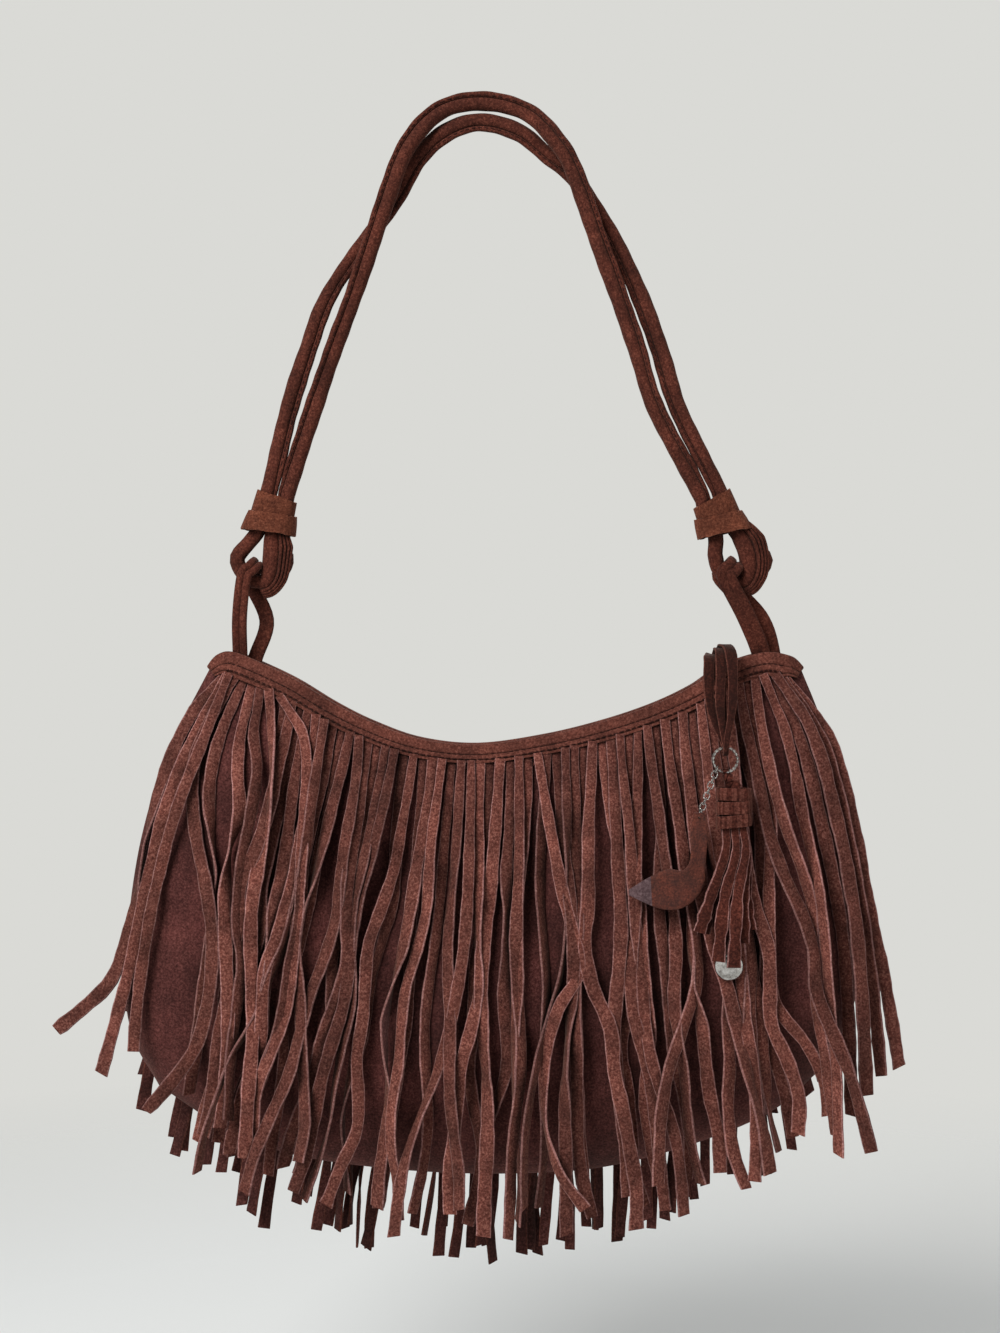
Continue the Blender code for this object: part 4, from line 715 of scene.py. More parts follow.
def makeFringe(side):
    look = fringeLook[side]
    pick = random.Random(look["seed"])
    field = newField(side)
    strands = []
    margin, count = headerLook["margin"], look["count"]
    starts = [margin + (1 - 2 * margin) * (k + 0.5) / count for k in range(count)]
    followed = followedStrands(starts, count) if side < 0 else {}
    clumps, k = [], 0
    while k < count:
        size = pick.choice([2, 3, 3, 4, 5])
        centre = k + (size - 1) / 2 + pick.uniform(-0.4, 0.4)
        clumps.extend([centre] * size)
        k += size
    pitch = np.linalg.norm(along(rimCurve, starts[1]) - along(rimCurve, starts[0]))
    s = np.linspace(0, 1, 13)
    for k, t in enumerate(starts):
        place, _, normal = rimFrame(t)
        top = place - normal * (bindingHeight(t) - headerLook["raise"])
        if k in followed:
            path = [top] + [fromPicture(x, y, -0.032) for x, y in followed[k][1:]]
            path = smoothPath(path, 13)
            crossing = pick.random() < 0.4
        else:
            share = (k + 0.5) / count
            endX, endZ = strandEnds(side, share)
            endX += pick.gauss(0, 3.0) * mm
            endZ += pick.uniform(-9, 6) * mm
            crossing = pick.random() < look["cross"]
            sway = pick.choice([-1, 1]) * pick.uniform(12, 24) * mm if crossing else 0.0
            first, second = pick.random(), pick.random()
            speed = pick.uniform(0.8, 1.5)
            amount = look["wave"] * pick.uniform(0.4, 1.3)
            wave = (np.sin(2 * math.pi * (speed * s + first))
                    + 0.45 * np.sin(2 * math.pi * (2.4 * speed * s + second)))
            wave = (wave - wave[0]) * np.clip(s * 1.6, 0, 1)
            gather = ((clumps[k] - k) * pitch * look["clump"]
                      * np.sin(math.pi * np.clip(s * 1.15, 0, 1)) ** 1.2)
            late = np.clip((s - 0.4) / 0.55, 0, 1)
            late = late * late * (3 - 2 * late)
            x = top[0] + (endX - top[0]) * s ** 1.12 + wave * amount + gather + sway * late
            for middle, reach in look["bare"]:
                off = x - middle
                push = np.maximum(reach - np.abs(off), 0.0) * np.exp(-((s - 0.6) / 0.3) ** 4)
                x = x + np.sign(off.mean()) * push * 0.85
            z = top[2] + (endZ - top[2]) * s
            path = np.stack([x, np.zeros(13), z], axis=-1)
        tilt = math.radians(pick.gauss(0, look["tilt"]))
        twist = tilt * np.clip((s - 0.05) * 3.5, 0, 1)
        for _ in range(pick.choice([0, 1, 1, 2])):
            centre, breadth = pick.uniform(0.25, 0.95), pick.uniform(0.06, 0.16)
            twist = twist + math.radians(pick.uniform(-95, 95)) * np.exp(-((s - centre) / breadth) ** 2)
        order = 2 if crossing else (1 if k in followed else 0)
        strands.append((order, pick.random(), k, path, twist))
    strands.sort(key=lambda item: item[:2])
    store = newStore()
    flatArea = 0.0
    for order, _, k, path, twist in strands:
        width = look["width"] * pick.uniform(0.88, 1.08)
        steps, stations = np.arange(grid["steps"]), look["stations"]
        rise = np.clip(np.linspace(-0.06, 4.0, len(steps)), 0, 1)
        lift = look["lift"] * pick.uniform(0.0, 1.0) ** 1.5 * rise
        fine, depth, turn = layStrand(field, path, width, look["thick"], twist, 0.07, lift,
                                       look["most"], look["loose"])
        where = np.linspace(0, len(steps) - 1, stations)
        line = np.column_stack([np.interp(where, steps, fine[:, i]) for i in range(3)])
        line[:, 1] = side * np.interp(where, steps, depth)
        angle = np.interp(where, steps, turn)
        narrow = min(pitch * 1.04 / look["width"], 1.0)
        widths = width * np.interp(np.linspace(0, 1, stations), [0, 0.04, 0.3], [narrow, narrow, 1.0])
        i = np.arange(stations)
        widths = widths * (1 + 0.06 * np.sin(i * 0.9 + k) + 0.04 * np.sin(i * 2.3 + 2 * k))
        rings = ribbonRings(line, widths, look["thick"], (0.0, float(side), 0.0), angle)
        slant = pick.uniform(-1.0, 1.0) * width * 0.35
        rings[-1, :, 2] += slant * np.array([a for a, _ in flatSection])
        addSweep(store, rings, flatSlots, pick.uniform(0.62, 1.28), capSlot=1)
        flatArea += float(np.mean(widths)) * np.linalg.norm(np.diff(line, axis=0), axis=1).sum()
    makeHeader(store, side)
    item = makeObject(sideWords[side] + "Fringe", store, look["finish"], "pouch",
                      [sideWords[side] + "_fringe"], 65.0)
    return item, flatArea


for side in (-1, 1):
    item, flatArea = makeFringe(side)


# shoulder strap: a closed rolled cord with a sewn lip, on the solids' route

strapLook = {
    "front": [(-84.5, -1.0, -142.8), (-74.0, -2.5, -112.2), (-62.5, -4.2, -81.6), (-47.6, -5.2, -38.3),
              (-37.0, -5.0, -10.5), (-20.0, -2.4, 8.8), (2.0, -0.6, 14.0), (24.5, -2.4, 7.6),
              (40.0, -5.0, -9.0), (48.0, -5.2, -24.0), (59.5, -4.8, -57.0), (69.5, -3.8, -84.0),
              (79.5, -2.4, -112.2), (89.5, -1.0, -142.8)],
    "back": [(-98.0, 1.0, -142.8), (-88.5, 2.5, -112.2), (-76.5, 4.2, -81.6), (-46.4, 5.2, -38.3),
             (-32.6, 5.0, -14.0), (-18.0, 2.4, -0.6), (0.0, 0.6, 4.5), (20.0, 2.4, -0.4),
             (35.0, 5.0, -12.0), (49.0, 5.2, -24.0), (67.0, 4.8, -52.0), (81.5, 3.8, -82.0),
             (92.5, 2.4, -112.2), (101.8, 1.0, -142.8)],
    "stations": 520, "turn": 24.0,
    "body": 3.75 * mm, "lip": [(-2.75, 0.75), (-3.2, 1.35), (-4.9, 1.25), (-5.3, 0.7)],
    "lipRoot": -2.7 * mm, "stitchPitch": 3.6 * mm, "stitchLength": 2.4 * mm, "stitchAt": 4.05 * mm,
}
linkLook = {
    "z": -230.0 * mm, "radius": 12.0 * mm, "rise": 32.0 * mm, "wrapLength": 19.0 * mm,
    "pitch": 9.3 * mm, "shoulder": 3.2 * mm,
    "left": {"x": -111.2 * mm, "tilt": 14.0, "shift": 0.0},
    "right": {"x": 132.6 * mm, "tilt": -21.0, "shift": -3.0 * mm},
}


def linkAxes(word):
    data = linkLook[word]
    tilt = math.radians(data["tilt"])
    spine = np.array([math.sin(tilt), 0.0, math.cos(tilt)])
    sideways = np.array([math.cos(tilt), 0.0, -math.sin(tilt)])
    middle = np.array([data["x"], 0.0, linkLook["z"] + linkLook["radius"]])
    return spine, sideways, middle, middle + np.array([data["shift"], 0.0, 0.0])


def strapBend(word):
    spine, sideways, middle, base = linkAxes(word)
    half, radius = linkLook["pitch"] / 2, linkLook["radius"]
    low = linkLook["rise"] - linkLook["wrapLength"]
    rises = [linkLook["rise"] + 6 * mm, linkLook["rise"], linkLook["rise"] - linkLook["wrapLength"] / 2, low]
    lobe = low * 0.42
    points = [base + spine * rise - sideways * half for rise in rises]
    points.append(base + spine * lobe - sideways * (half + linkLook["shoulder"]))
    for k in range(7):
        angle = math.radians(30 * k)
        points.append(middle + np.array([-radius * math.cos(angle), 0.0, -radius * math.sin(angle)]))
    points.append(base + spine * lobe + sideways * (half + linkLook["shoulder"]))
    points += [base + spine * rise + sideways * half for rise in reversed(rises)]
    return points


def makeStrap():
    front = [np.array(p) * mm for p in strapLook["front"]]
    back = [np.array(p) * mm for p in strapLook["back"]]
    route = strapBend("left") + front + strapBend("right") + back[::-1]
    line = smoothPath(route, strapLook["stations"], closed=True)
    radius = strapLook["body"]
    section = [(0.55 * mm + radius * math.cos(a), radius * math.sin(a))
               for a in np.radians(np.arange(-148, 149, 18.5))]
    lip = strapLook["lip"]
    section += [(a * mm, b * mm) for a, b in lip + [(a, -b) for a, b in reversed(lip)]]
    count = len(line)
    low = np.clip((line[:, 2] + 0.200) / 0.03, 0, 1)  # the lip tucks under inside the wraps and links
    twist = np.radians(strapLook["turn"] + 14 * np.sin(np.linspace(0, 14 * math.pi, count))) * low
    tangent, out, side = pathFrame(line, (0.0, -1.0, 0.0), True, twist)
    wobble = 1 + 0.025 * np.sin(np.arange(count) * 0.37) + 0.02 * np.sin(np.arange(count) * 1.13)
    rings = []
    for k in range(count):
        ring = []
        for a, b in section:
            if a < strapLook["lipRoot"]:
                a = strapLook["lipRoot"] + (a - strapLook["lipRoot"]) * (0.25 + 0.75 * low[k])
                b = b * (0.6 + 0.4 * low[k])
            ring.append(line[k] + side[k] * a * wobble[k] + out[k] * b * wobble[k])
        rings.append(ring)
    store = newStore()
    addSweep(store, rings, [0], 1.0, closed=True)
    makeObject("strapCord", store, [cordNap], "strap", ["shoulder_strap"], 60.0)
    stitches = newStore()
    steps = np.linalg.norm(np.roll(line, -1, axis=0) - line, axis=1)
    lengths = np.concatenate([[0], np.cumsum(steps)])
    ring = np.vstack([line, line[:1]])
    for start in np.arange(0, lengths[-1] - strapLook["stitchPitch"], strapLook["stitchPitch"]):
        for face in (1, -1):
            ends = []
            for value in (start, start + strapLook["stitchLength"]):
                k = min(int(np.searchsorted(lengths, value)), count - 1)
                p = np.array([np.interp(value, lengths, ring[:, i]) for i in range(3)])
                ends.append(p - side[k] * strapLook["stitchAt"] + out[k] * face * 1.32 * mm)
            if low[k] > 0.9:
                addStitch(stitches, ends[0], ends[1], out[k] * face, 0.26 * mm)
    makeObject("strapStitches", stitches, [thread], "strap", ())


makeStrap()
print("strap made")


def ovalPoints(centre, longAxis, shortAxis, halfLong, halfShort, count, start=0.0):
    points = []
    straight = halfLong - halfShort
    for k in range(count):
        angle = 2 * math.pi * (k + 0.5) / count + start
        shift = straight * max(min(math.cos(angle) * 2.2, 1), -1)
        points.append(centre + longAxis * (shift + halfShort * math.cos(angle))
                      + shortAxis * halfShort * math.sin(angle))
    return np.array(points)


def makeWrap(word):
    # flat strip wound twice, the lower turn over the upper, with its free tail
    look = {"thick": 1.25 * mm, "gap": 0.5 * mm, "cord": 4.5 * mm, "sides": 72, "edges": (3, 7),
            "lean": {"left": 0.10, "right": -0.16}}
    spine, sideways, _, base = linkAxes(word)
    start = base + spine * (linkLook["rise"] - linkLook["wrapLength"])
    innerShort = look["cord"] + look["gap"]
    innerLong = linkLook["pitch"] / 2 + innerShort
    lean = look["lean"][word]
    turns = [(0.0, 0.52, 3.3, 1.5, lean), (0.28, 1.0, 0.4, -0.3, -lean * 0.9)]
    store = newStore()
    for index, (lowShare, highShare, lowFlare, highFlare, tip) in enumerate(turns):
        profile = []
        for share, flare in ((0, lowFlare), (0.25, lowFlare * 0.8 + highFlare * 0.2),
                             (0.6, (lowFlare + highFlare) / 2), (1, highFlare)):
            profile.append((lowShare + (highShare - lowShare) * share, flare * mm + look["thick"]))
        outerRings, innerRings = [], []
        for share, wall in profile:
            for rings, extra in ((outerRings, wall), (innerRings, wall - look["thick"] * 0.9)):
                centre = start + spine * linkLook["wrapLength"] * share
                ring = ovalPoints(centre, sideways, deep, innerLong + extra, innerShort + extra,
                                  look["sides"])
                for i, point in enumerate(ring):
                    across = np.dot(point - centre, sideways)
                    ripple = 0.18 * mm * math.sin(i * 0.9 + index * 2) + 0.14 * mm * math.sin(i * 0.37)
                    ring[i] = point + spine * (across * tip + ripple)
                rings.append(ring)
        rings = outerRings + innerRings[::-1]
        addSweep(store, rings, [0], 1.0 if index == 0 else 0.86, closed=True)
        slots = [int(r % 8 in look["edges"]) for r in range(len(rings)) for _ in range(look["sides"])]
        store["slots"][-len(slots):] = slots
    if word == "left":  # free end of the strip, tucked out under the lower turn
        corner = start + spine * 2.0 * mm + sideways * (innerLong + 0.6 * mm)
        tail = [corner + (deep * a - spine * b + sideways * c) * mm
                for a, b, c in ((2.0, 0.0, 0.0), (-0.5, 3.5, 0.8), (-1.5, 7.0, 0.0), (-2.0, 9.5, 0.0))]
        tailPath = smoothPath(tail, 8)
        addSweep(store, ribbonRings(tailPath, np.linspace(7.5, 2.5, 8) * mm, 1.3 * mm, sideways),
                 [1, 0, 1, 1], 0.9, capSlot=1)
    makeObject(word + "Wrap", store, [wrapNap, wrapEdge], "strap", [word + "_wrap"], 45.0)


def makeLinkLayers(word):
    # the doubled cord is thick round the right half of the bend, with its lip fanned in ridges outside
    look = {"left": [(6.2, 15.5), (5.6, 8.0), (5.2, 0.0), (4.6, -7.0), (2.6, -12.4), (-1.5, -15.0)],
            "right": [(-2.6, 15.0), (0.8, 9.0), (3.6, 2.0), (4.4, -5.0), (3.0, -11.5), (0.0, -15.0)],
            "body": 8.8, "ridges": ((4.4, -3.3), (6.3, -2.9), (8.1, -2.4), (9.6, -1.8)), "ridge": (5.2, 1.3),
            "stations": 40}
    count = look["stations"]
    middle = linkAxes(word)[2]
    line = smoothPath([middle + np.array([x, 0.0, z]) * mm for x, z in look[word]], count)
    tangent = unit(np.gradient(line, axis=0))
    outward = np.stack([-tangent[:, 2], np.zeros(count), tangent[:, 0]], axis=-1)
    share = np.linspace(0, 1, count)
    bulk = np.interp(share, [0, 0.2, 0.7, 0.9, 1], [0.85, 1.0, 1.05, 0.85, 0.4])
    store = newStore()
    section = [(0.5 * math.cos(a), 0.5 * math.sin(a)) for a in np.arange(20) * math.pi / 10]
    addSweep(store, ribbonRings(line + np.array([0.0, -0.9 * mm, 0.0]), look["body"] * bulk * mm,
                                look["body"] * 1.06 * bulk * mm, outward, section=section), [0], 1.08)
    for offset, depth in look["ridges"]:
        spread = np.interp(share, [0, 0.3, 0.75, 1], [0.62, 1.0, 0.86, 0.6])
        route = line + outward * (offset * spread * mm)[:, None]
        route[:, 1] += depth * mm
        wide, thick = look["ridge"]
        ridge = ribbonRings(route, wide * bulk * mm, thick * mm, outward, np.radians(-20.0))
        addSweep(store, ridge, [0], 0.9)
    makeObject(word + "LinkLayers", store, [cordNap], "strap", (), 60.0)


loopLook = {
    "angle": 38.0, "thick": 3.2 * mm, "clearance": 2.5 * mm, "sewn": 2.8 * mm, "depth": 12.0 * mm,
    "stations": 90, "inside": 1.8 * mm,
    "left": {"width": 7.5 * mm, "legs": ((-121.9, -121.8), (-115.3, -109.5))},
    "right": {"width": 9.5 * mm, "legs": ((142.8, 135.0), (148.9, 143.0))},
    "section": [(-0.5, 0.15), (-0.46, 0.4), (-0.3, 0.5), (-0.1, 0.44), (0.0, 0.2), (0.1, 0.44), (0.3, 0.5),
                (0.46, 0.4), (0.5, 0.15), (0.5, -0.15), (0.46, -0.4), (0.3, -0.5), (0.0, -0.42), (-0.3, -0.5),
                (-0.46, -0.4), (-0.5, -0.15)],
}


def makeSewnLoop(word):
    # doubled strip round the strap's bend, with a groove along its face
    look, own = loopLook, loopLook[word]
    angle, bend = math.radians(look["angle"]), linkLook["radius"]
    radius = 4.5 * mm + look["clearance"] + look["thick"] / 2
    hub = np.array([linkLook[word]["x"] - bend * math.sin(angle), 0.0,
                    linkLook["z"] + bend * (1 - math.cos(angle))])
    inward = np.array([math.sin(angle), 0.0, math.cos(angle)])
    tangent = np.array([math.cos(angle), 0.0, -math.sin(angle)])
    stations = []
    for side, (sewnX, middleX) in zip((-1, 1), own["legs"]):
        sewnX, middleX = sewnX * mm, middleX * mm
        outerX = sewnX + math.copysign(own["width"] / 2, sewnX)
        mouthZ = float(np.interp(sewnX, *topTable))
        sewnHalf = float(pouchHalf(outerX, float(np.interp(outerX, *topTable)))[0])
        sewnY = sewnHalf - look["inside"] - look["sewn"] / 2
        leg = [(np.array([sewnX, side * sewnY, mouthZ - look["depth"]]), look["sewn"], level),
               (np.array([sewnX, side * sewnY, mouthZ + 2 * mm]), look["sewn"], level),
               (np.array([middleX, side * (sewnY + radius) / 2, (mouthZ + hub[2]) / 2]), look["thick"],
                level),
               (hub + deep * side * radius - inward * mm, look["thick"], tangent)]
        if side > 0:
            leg.reverse()
            for k in range(1, 6):
                turn = math.pi * k / 6
                stations.append((hub + (inward * math.sin(turn) - deep * math.cos(turn)) * radius,
                                 look["thick"], tangent))
        stations += leg
    count = look["stations"]
    shares = np.linspace(0, len(stations) - 1, count)
    line = np.array([curvePoint([p for p, _, _ in stations], k / (count - 1)) for k in range(count)])
    thick = np.interp(shares, range(len(stations)), [t for _, t, _ in stations])
    across = np.array([[np.interp(v, range(len(stations)), [w[i] for _, _, w in stations]) for i in range(3)]
                       for v in shares])
    facing = np.cross(across, np.gradient(line, axis=0))
    store = newStore()
    addSweep(store, ribbonRings(line, own["width"], thick, facing, section=look["section"]), [0], 0.95)
    makeObject(word + "Loop", store, [cordNap], "pouch", [word + "_loop"], 60.0)


for word in ("left", "right"):
    makeWrap(word)
    makeLinkLayers(word)
    makeSewnLoop(word)
print("links made")


# lining and zip

def makeLining():
    look = {"columns": 60, "rows": 34, "inset": 0.05, "gap": 0.7 * mm, "wall": 0.6 * mm, "drop": 18.0 * mm,
            "fold": 0.8 * mm, "edge": 0.4 * mm}
    store = newStore()
    width, count = look["columns"] + 1, (look["rows"] + 1) * (look["columns"] + 1)
    for side in (-1, 1):
        base = len(store["verts"])
        for wall in (0.0, look["wall"]):
            for j in range(look["rows"] + 1):
                for i in range(width):
                    u = look["inset"] + (1 - 2 * look["inset"]) * float(crowd(i / look["columns"], 1.3))
                    v = j / look["rows"] * (1 - look["inset"])
                    place, top = panelPlace(u, v), panelPlace(u, 0.0)
                    drop = look["drop"] * (1 - j / look["rows"])
                    z = min(place[2], top[2] - drop)
                    half = float(pouchHalf(place[0], z)[0]) - look["gap"] - look["wall"]
                    calm = math.sin(math.pi * i / look["columns"])
                    fold = look["fold"] * math.sin(i * 0.8 + j * 0.3) * calm
                    edge = i in (0, look["columns"]) or j == look["rows"]
                    y = look["edge"] if edge else max(half - abs(fold) - wall, 0.6 * mm)
                    if not edge and j < 4:
                        y = max(half - wall - abs(fold) * 0.3, 0.8 * mm)
                    store["verts"].append((place[0], side * y, z))
        count = (look["rows"] + 1) * width
        addShellFaces(store, base, look["columns"], look["rows"])
        for a in range(base, base + look["columns"]):
            store["faces"].append((a, a + 1, count + a + 1, count + a))
            store["slots"].append(0)
    store["tones"] = [1.0] * len(store["verts"])
    makeObject("innerLining", store, [liningCloth], "pouch", ["lining"])


zipLook = {"radius": 216.0 * mm, "x": 8.8 * mm, "z": -107.0 * mm, "from": -80.0 * mm, "to": 134.0 * mm,
           "inner": 2.3 * mm, "outer": 3.7 * mm, "pitch": 2.5 * mm, "tapeStations": 120, "sewn": 1.3 * mm,
           "tooth": [(-0.55, -1.1), (0.55, -1.1), (0.75, -0.5), (0.75, 0.5), (0.55, 1.1), (-0.55, 1.1),
                     (-0.75, 0.5), (-0.75, -0.5)]}


def zipFrame(x):
    angle = math.asin((x - zipLook["x"]) / zipLook["radius"])
    inward = np.array([-math.sin(angle), 0.0, math.cos(angle)])
    place = np.array([zipLook["x"], 0.0, zipLook["z"]]) - inward * zipLook["radius"]
    return place, np.array([math.cos(angle), 0.0, math.sin(angle)]), inward


def makeZip():
    inner, near = zipLook["inner"], zipLook["outer"] + 0.3 * mm
    shape = ((inner, 0.55), (inner + 0.25 * mm, 0.85), (zipLook["outer"] - 0.5 * mm, 0.75),
             (zipLook["outer"] + 0.05 * mm, 1.0))
    for side, word in sideWords.items():
        teeth, tape = newStore(), newStore()
        for x in np.arange(zipLook["from"], zipLook["to"], zipLook["pitch"]):
            place, direction, inward = zipFrame(x)
            addSweep(teeth, [[place + (direction * a + inward * n) * size * mm + deep * side * y
                              for a, n in zipLook["tooth"]] for y, size in shape], [0])
        rows = []
        for x in np.linspace(zipLook["from"], zipLook["to"], zipLook["tapeStations"]):
            place, _, inward = zipFrame(x)
            outer = float(pouchHalf(place[0], place[2])[0]) - zipLook["sewn"]
            upper = [(near, 0.3), (near + 0.5 * mm, 0.55), (near + 1.0 * mm, 0.3), (outer, 0.3)]
            section = [(y, -n * mm) for y, n in upper] + [(y, n * mm) for y, n in reversed(upper)]
            rows.append(acrossSection(place, inward, section, side))
        addSweep(tape, rows, [0])
        makeObject(word + "Teeth", teeth, [darkMetal], "pouch", [word + "_zip_teeth"], 30.0)
        makeObject(word + "Tape", tape, [tapeCloth], "pouch", [word + "_zip_tape"])


makeLining()
makeZip()
print("lining and zip made")


# slider, puller, laces and charms

def takeMesh(node, name, material, body, rounding, level, rough=0.0, seed=0.0):
    # a finer, rounded copy of one piece's solid, with small uneven places worked in
    mesh = frame["nodes"][node].data.copy()
    mesh.materials.clear()
    item = bpy.data.objects.new(name, mesh)
    scene.collection.objects.link(item)
    bevel = item.modifiers.new("rounding", "BEVEL")
    bevel.width = rounding
    bevel.segments = 2
    bevel.limit_method = "ANGLE"
    bevel.angle_limit = math.radians(38.0)
    if level:
        smooth = item.modifiers.new("smooth", "SUBSURF")
        smooth.levels = level
        smooth.render_levels = level
    bpy.context.view_layer.update()
    graph = bpy.context.evaluated_depsgraph_get()
    done = bpy.data.meshes.new_from_object(item.evaluated_get(graph))
    bpy.data.objects.remove(item)
    if rough:
        normals = [v.normal.copy() for v in done.vertices]
        for vertex, normal in zip(done.vertices, normals):
            bump = noise.noise(vertex.co * 260.0 + Vector((seed, 0.0, 0.0)))
            bump += 0.5 * noise.noise(vertex.co * 700.0 + Vector((0.0, seed, 0.0)))
            vertex.co += normal * bump * rough
    done.name = name
    settle(name, done, [material], [1.0] * len(done.vertices), body, [node], 50.0)


takeMesh("zip_slider", "zipSlider", darkMetal, "slider", 0.25 * mm, 0)
takeMesh("zip_puller", "zipPuller", darkMetal, "puller", 0.0001 * mm, 1)

laceLook = {
    "hole": (125.499 * mm, 0.0, -283.352 * mm), "length": 16.5 * mm, "halfWidth": 3.4 * mm, "angle": 118.0,
    "seat": 0.78, "wire": 0.75 * mm, "ringWire": 0.8 * mm, "slack": 0.45 * mm, "gap": 0.3 * mm,
    "width": 5.4 * mm, "ringWidth": 2.6 * mm, "thick": 1.2 * mm, "nest": 1.75 * mm,
    "crestY": -11.0 * mm, "crest": 5.5 * mm, "bendY": -25.0 * mm, "bend": 1.5 * mm,
    "ring": (119.6 * mm, -46.0 * mm, -319.0 * mm), "ringRadius": 6.0 * mm, "count": 26, "spread": 2.9 * mm,
}


def makeLaces():
    look = laceLook
    angle = math.radians(look["angle"])
    lengthwise = np.array([math.cos(angle), 0.0, math.sin(angle)])
    bar = np.array(look["hole"]) + lengthwise * look["length"] * look["seat"]
    bar = bar - np.array([0.0, look["halfWidth"], 0.0])
    centre = np.array(look["ring"])
    low = centre + np.array([0.0, 0.0, look["ringRadius"]])
    for nest, (word, side) in enumerate((("left", -1), ("right", 1))):
        turnBar = look["wire"] + look["thick"] / 2 + look["slack"] + look["nest"] * nest
        turnRing = look["ringWire"] + look["thick"] / 2 + look["gap"] + look["nest"] * nest
        fan = side * look["width"] * 0.55
        spine = [bar,
                 np.array([bar[0] + fan * 0.3, look["crestY"], bar[2] + look["crest"]]),
                 np.array([bar[0] + fan * 0.8, look["bendY"], bar[2] + look["bend"]]),
                 np.array([low[0] - 1.0 * mm + fan, centre[1] + 8 * mm, low[2] + 20.0 * mm]), low]
        outer, inner, ways, widths = [], [], [], []
        for share in np.linspace(0, 1, look["count"] + 1):
            blend = min(share * 3.0, 1.0)
            way = unit(-lengthwise * (1 - blend) + level * blend)
            step = curvePoint(spine, share + 0.02) - curvePoint(spine, share - 0.02)
            if share == 0.0:
                step = np.array([0.0, -1.0, 0.0])
            elif share == 1.0:
                step = np.array([0.0, 0.0, -1.0])
            lift = unit(np.cross(step, way))
            half = turnBar + (turnRing - turnBar) * share
            spreadOut = math.sin(math.pi * min(max(share * 1.1 - 0.08, 0.0), 1.0))
            slip = way * look["spread"] * spreadOut
            outer.append(curvePoint(spine, share) + lift * half + slip)
            inner.append(curvePoint(spine, share) - lift * half - slip)
            ways.append(way)
            narrowing = look["width"] + (look["ringWidth"] - look["width"]) * share ** 1.5
            widths.append(narrowing * (1 + 0.3 * math.sin(math.pi * share)))
        firstLift, lastLift = unit(outer[0] - bar), unit(outer[-1] - low)
        topTurn, lowTurn = [], []
        for degrees in (30, 60, 90, 120, 150):
            turn = math.radians(degrees)
            ahead, aside = math.sin(turn), math.cos(turn)
            topTurn.append(bar + (np.array([0.0, ahead, 0.0]) - firstLift * aside) * turnBar)
            lowTurn.append(low + (np.array([0.0, 0.0, -ahead]) + lastLift * aside) * turnRing)
        path = np.array(topTurn + outer + lowTurn + inner[::-1])
        across, wide = [np.array([row[0]] * 5 + row + [row[-1]] * 5 + row[::-1]) for row in (ways, widths)]
        wide = wide * (1 + 0.05 * np.sin(np.arange(len(wide)) * 1.1))
        tangent = unit(np.roll(path, -1, axis=0) - np.roll(path, 1, axis=0))
        facing = np.cross(tangent, across)
        store = newStore()
        addSweep(store, ribbonRings(path, wide, look["thick"], facing, closed=True), flatSlots,
                 1.0 - 0.12 * nest, closed=True)
        makeObject(word + "Lace", store, [laceNap, rimNap, laceNap], "puller",
                   [word + "_pull_lace"], 60.0)


makeLaces()
for node in ["charm_ring", "end_hook", "jump_ring"] + ["chain_link_%d" % k for k in range(1, 9)]:
    body = [name for name in ("ring", "chain_top", "chain_middle", "chain_low", "tag", "disc")
            if node in frame["record"]["behaviour"]["bodies"][name]][0]
    words = node.split("_")
    takeMesh(node, words[0] + "".join(w.capitalize() for w in words[1:]), brightMetal, body,
             0.0001 * mm, 2)


def makeDisc():
    # dished disc with a rolled edge and a raised ring
    low, high = boxCorners("disc_charm")
    look = {"radius": 7.0 * mm, "sides": 72}
    middle = np.array([(low[0] + high[0]) / 2, (low[1] + high[1]) / 2 + 0.2 * mm, low[2] + look["radius"]])
    profile = [(0.4, 1.15), (2.0, 1.1), (3.6, 0.85), (4.4, 0.62), (5.0, 0.62), (5.4, 0.75), (6.0, 0.72),
               (6.5, 0.5), (6.85, 0.15), (7.0, -0.2), (6.85, -0.5), (6.2, -0.45), (5.4, -0.2), (4.0, 0.1),
               (2.0, 0.35), (0.4, 0.4)]
    turns = np.arange(look["sides"]) * 2 * math.pi / look["sides"]
    rings = [middle + np.column_stack([r * np.cos(turns), np.full(len(turns), -h), r * np.sin(turns)]) * mm
             for r, h in profile]
    store = newStore()
    addSweep(store, rings, [0])
    makeObject("discCharm", store, [brightMetal], "disc", ["disc_charm"], 40.0)


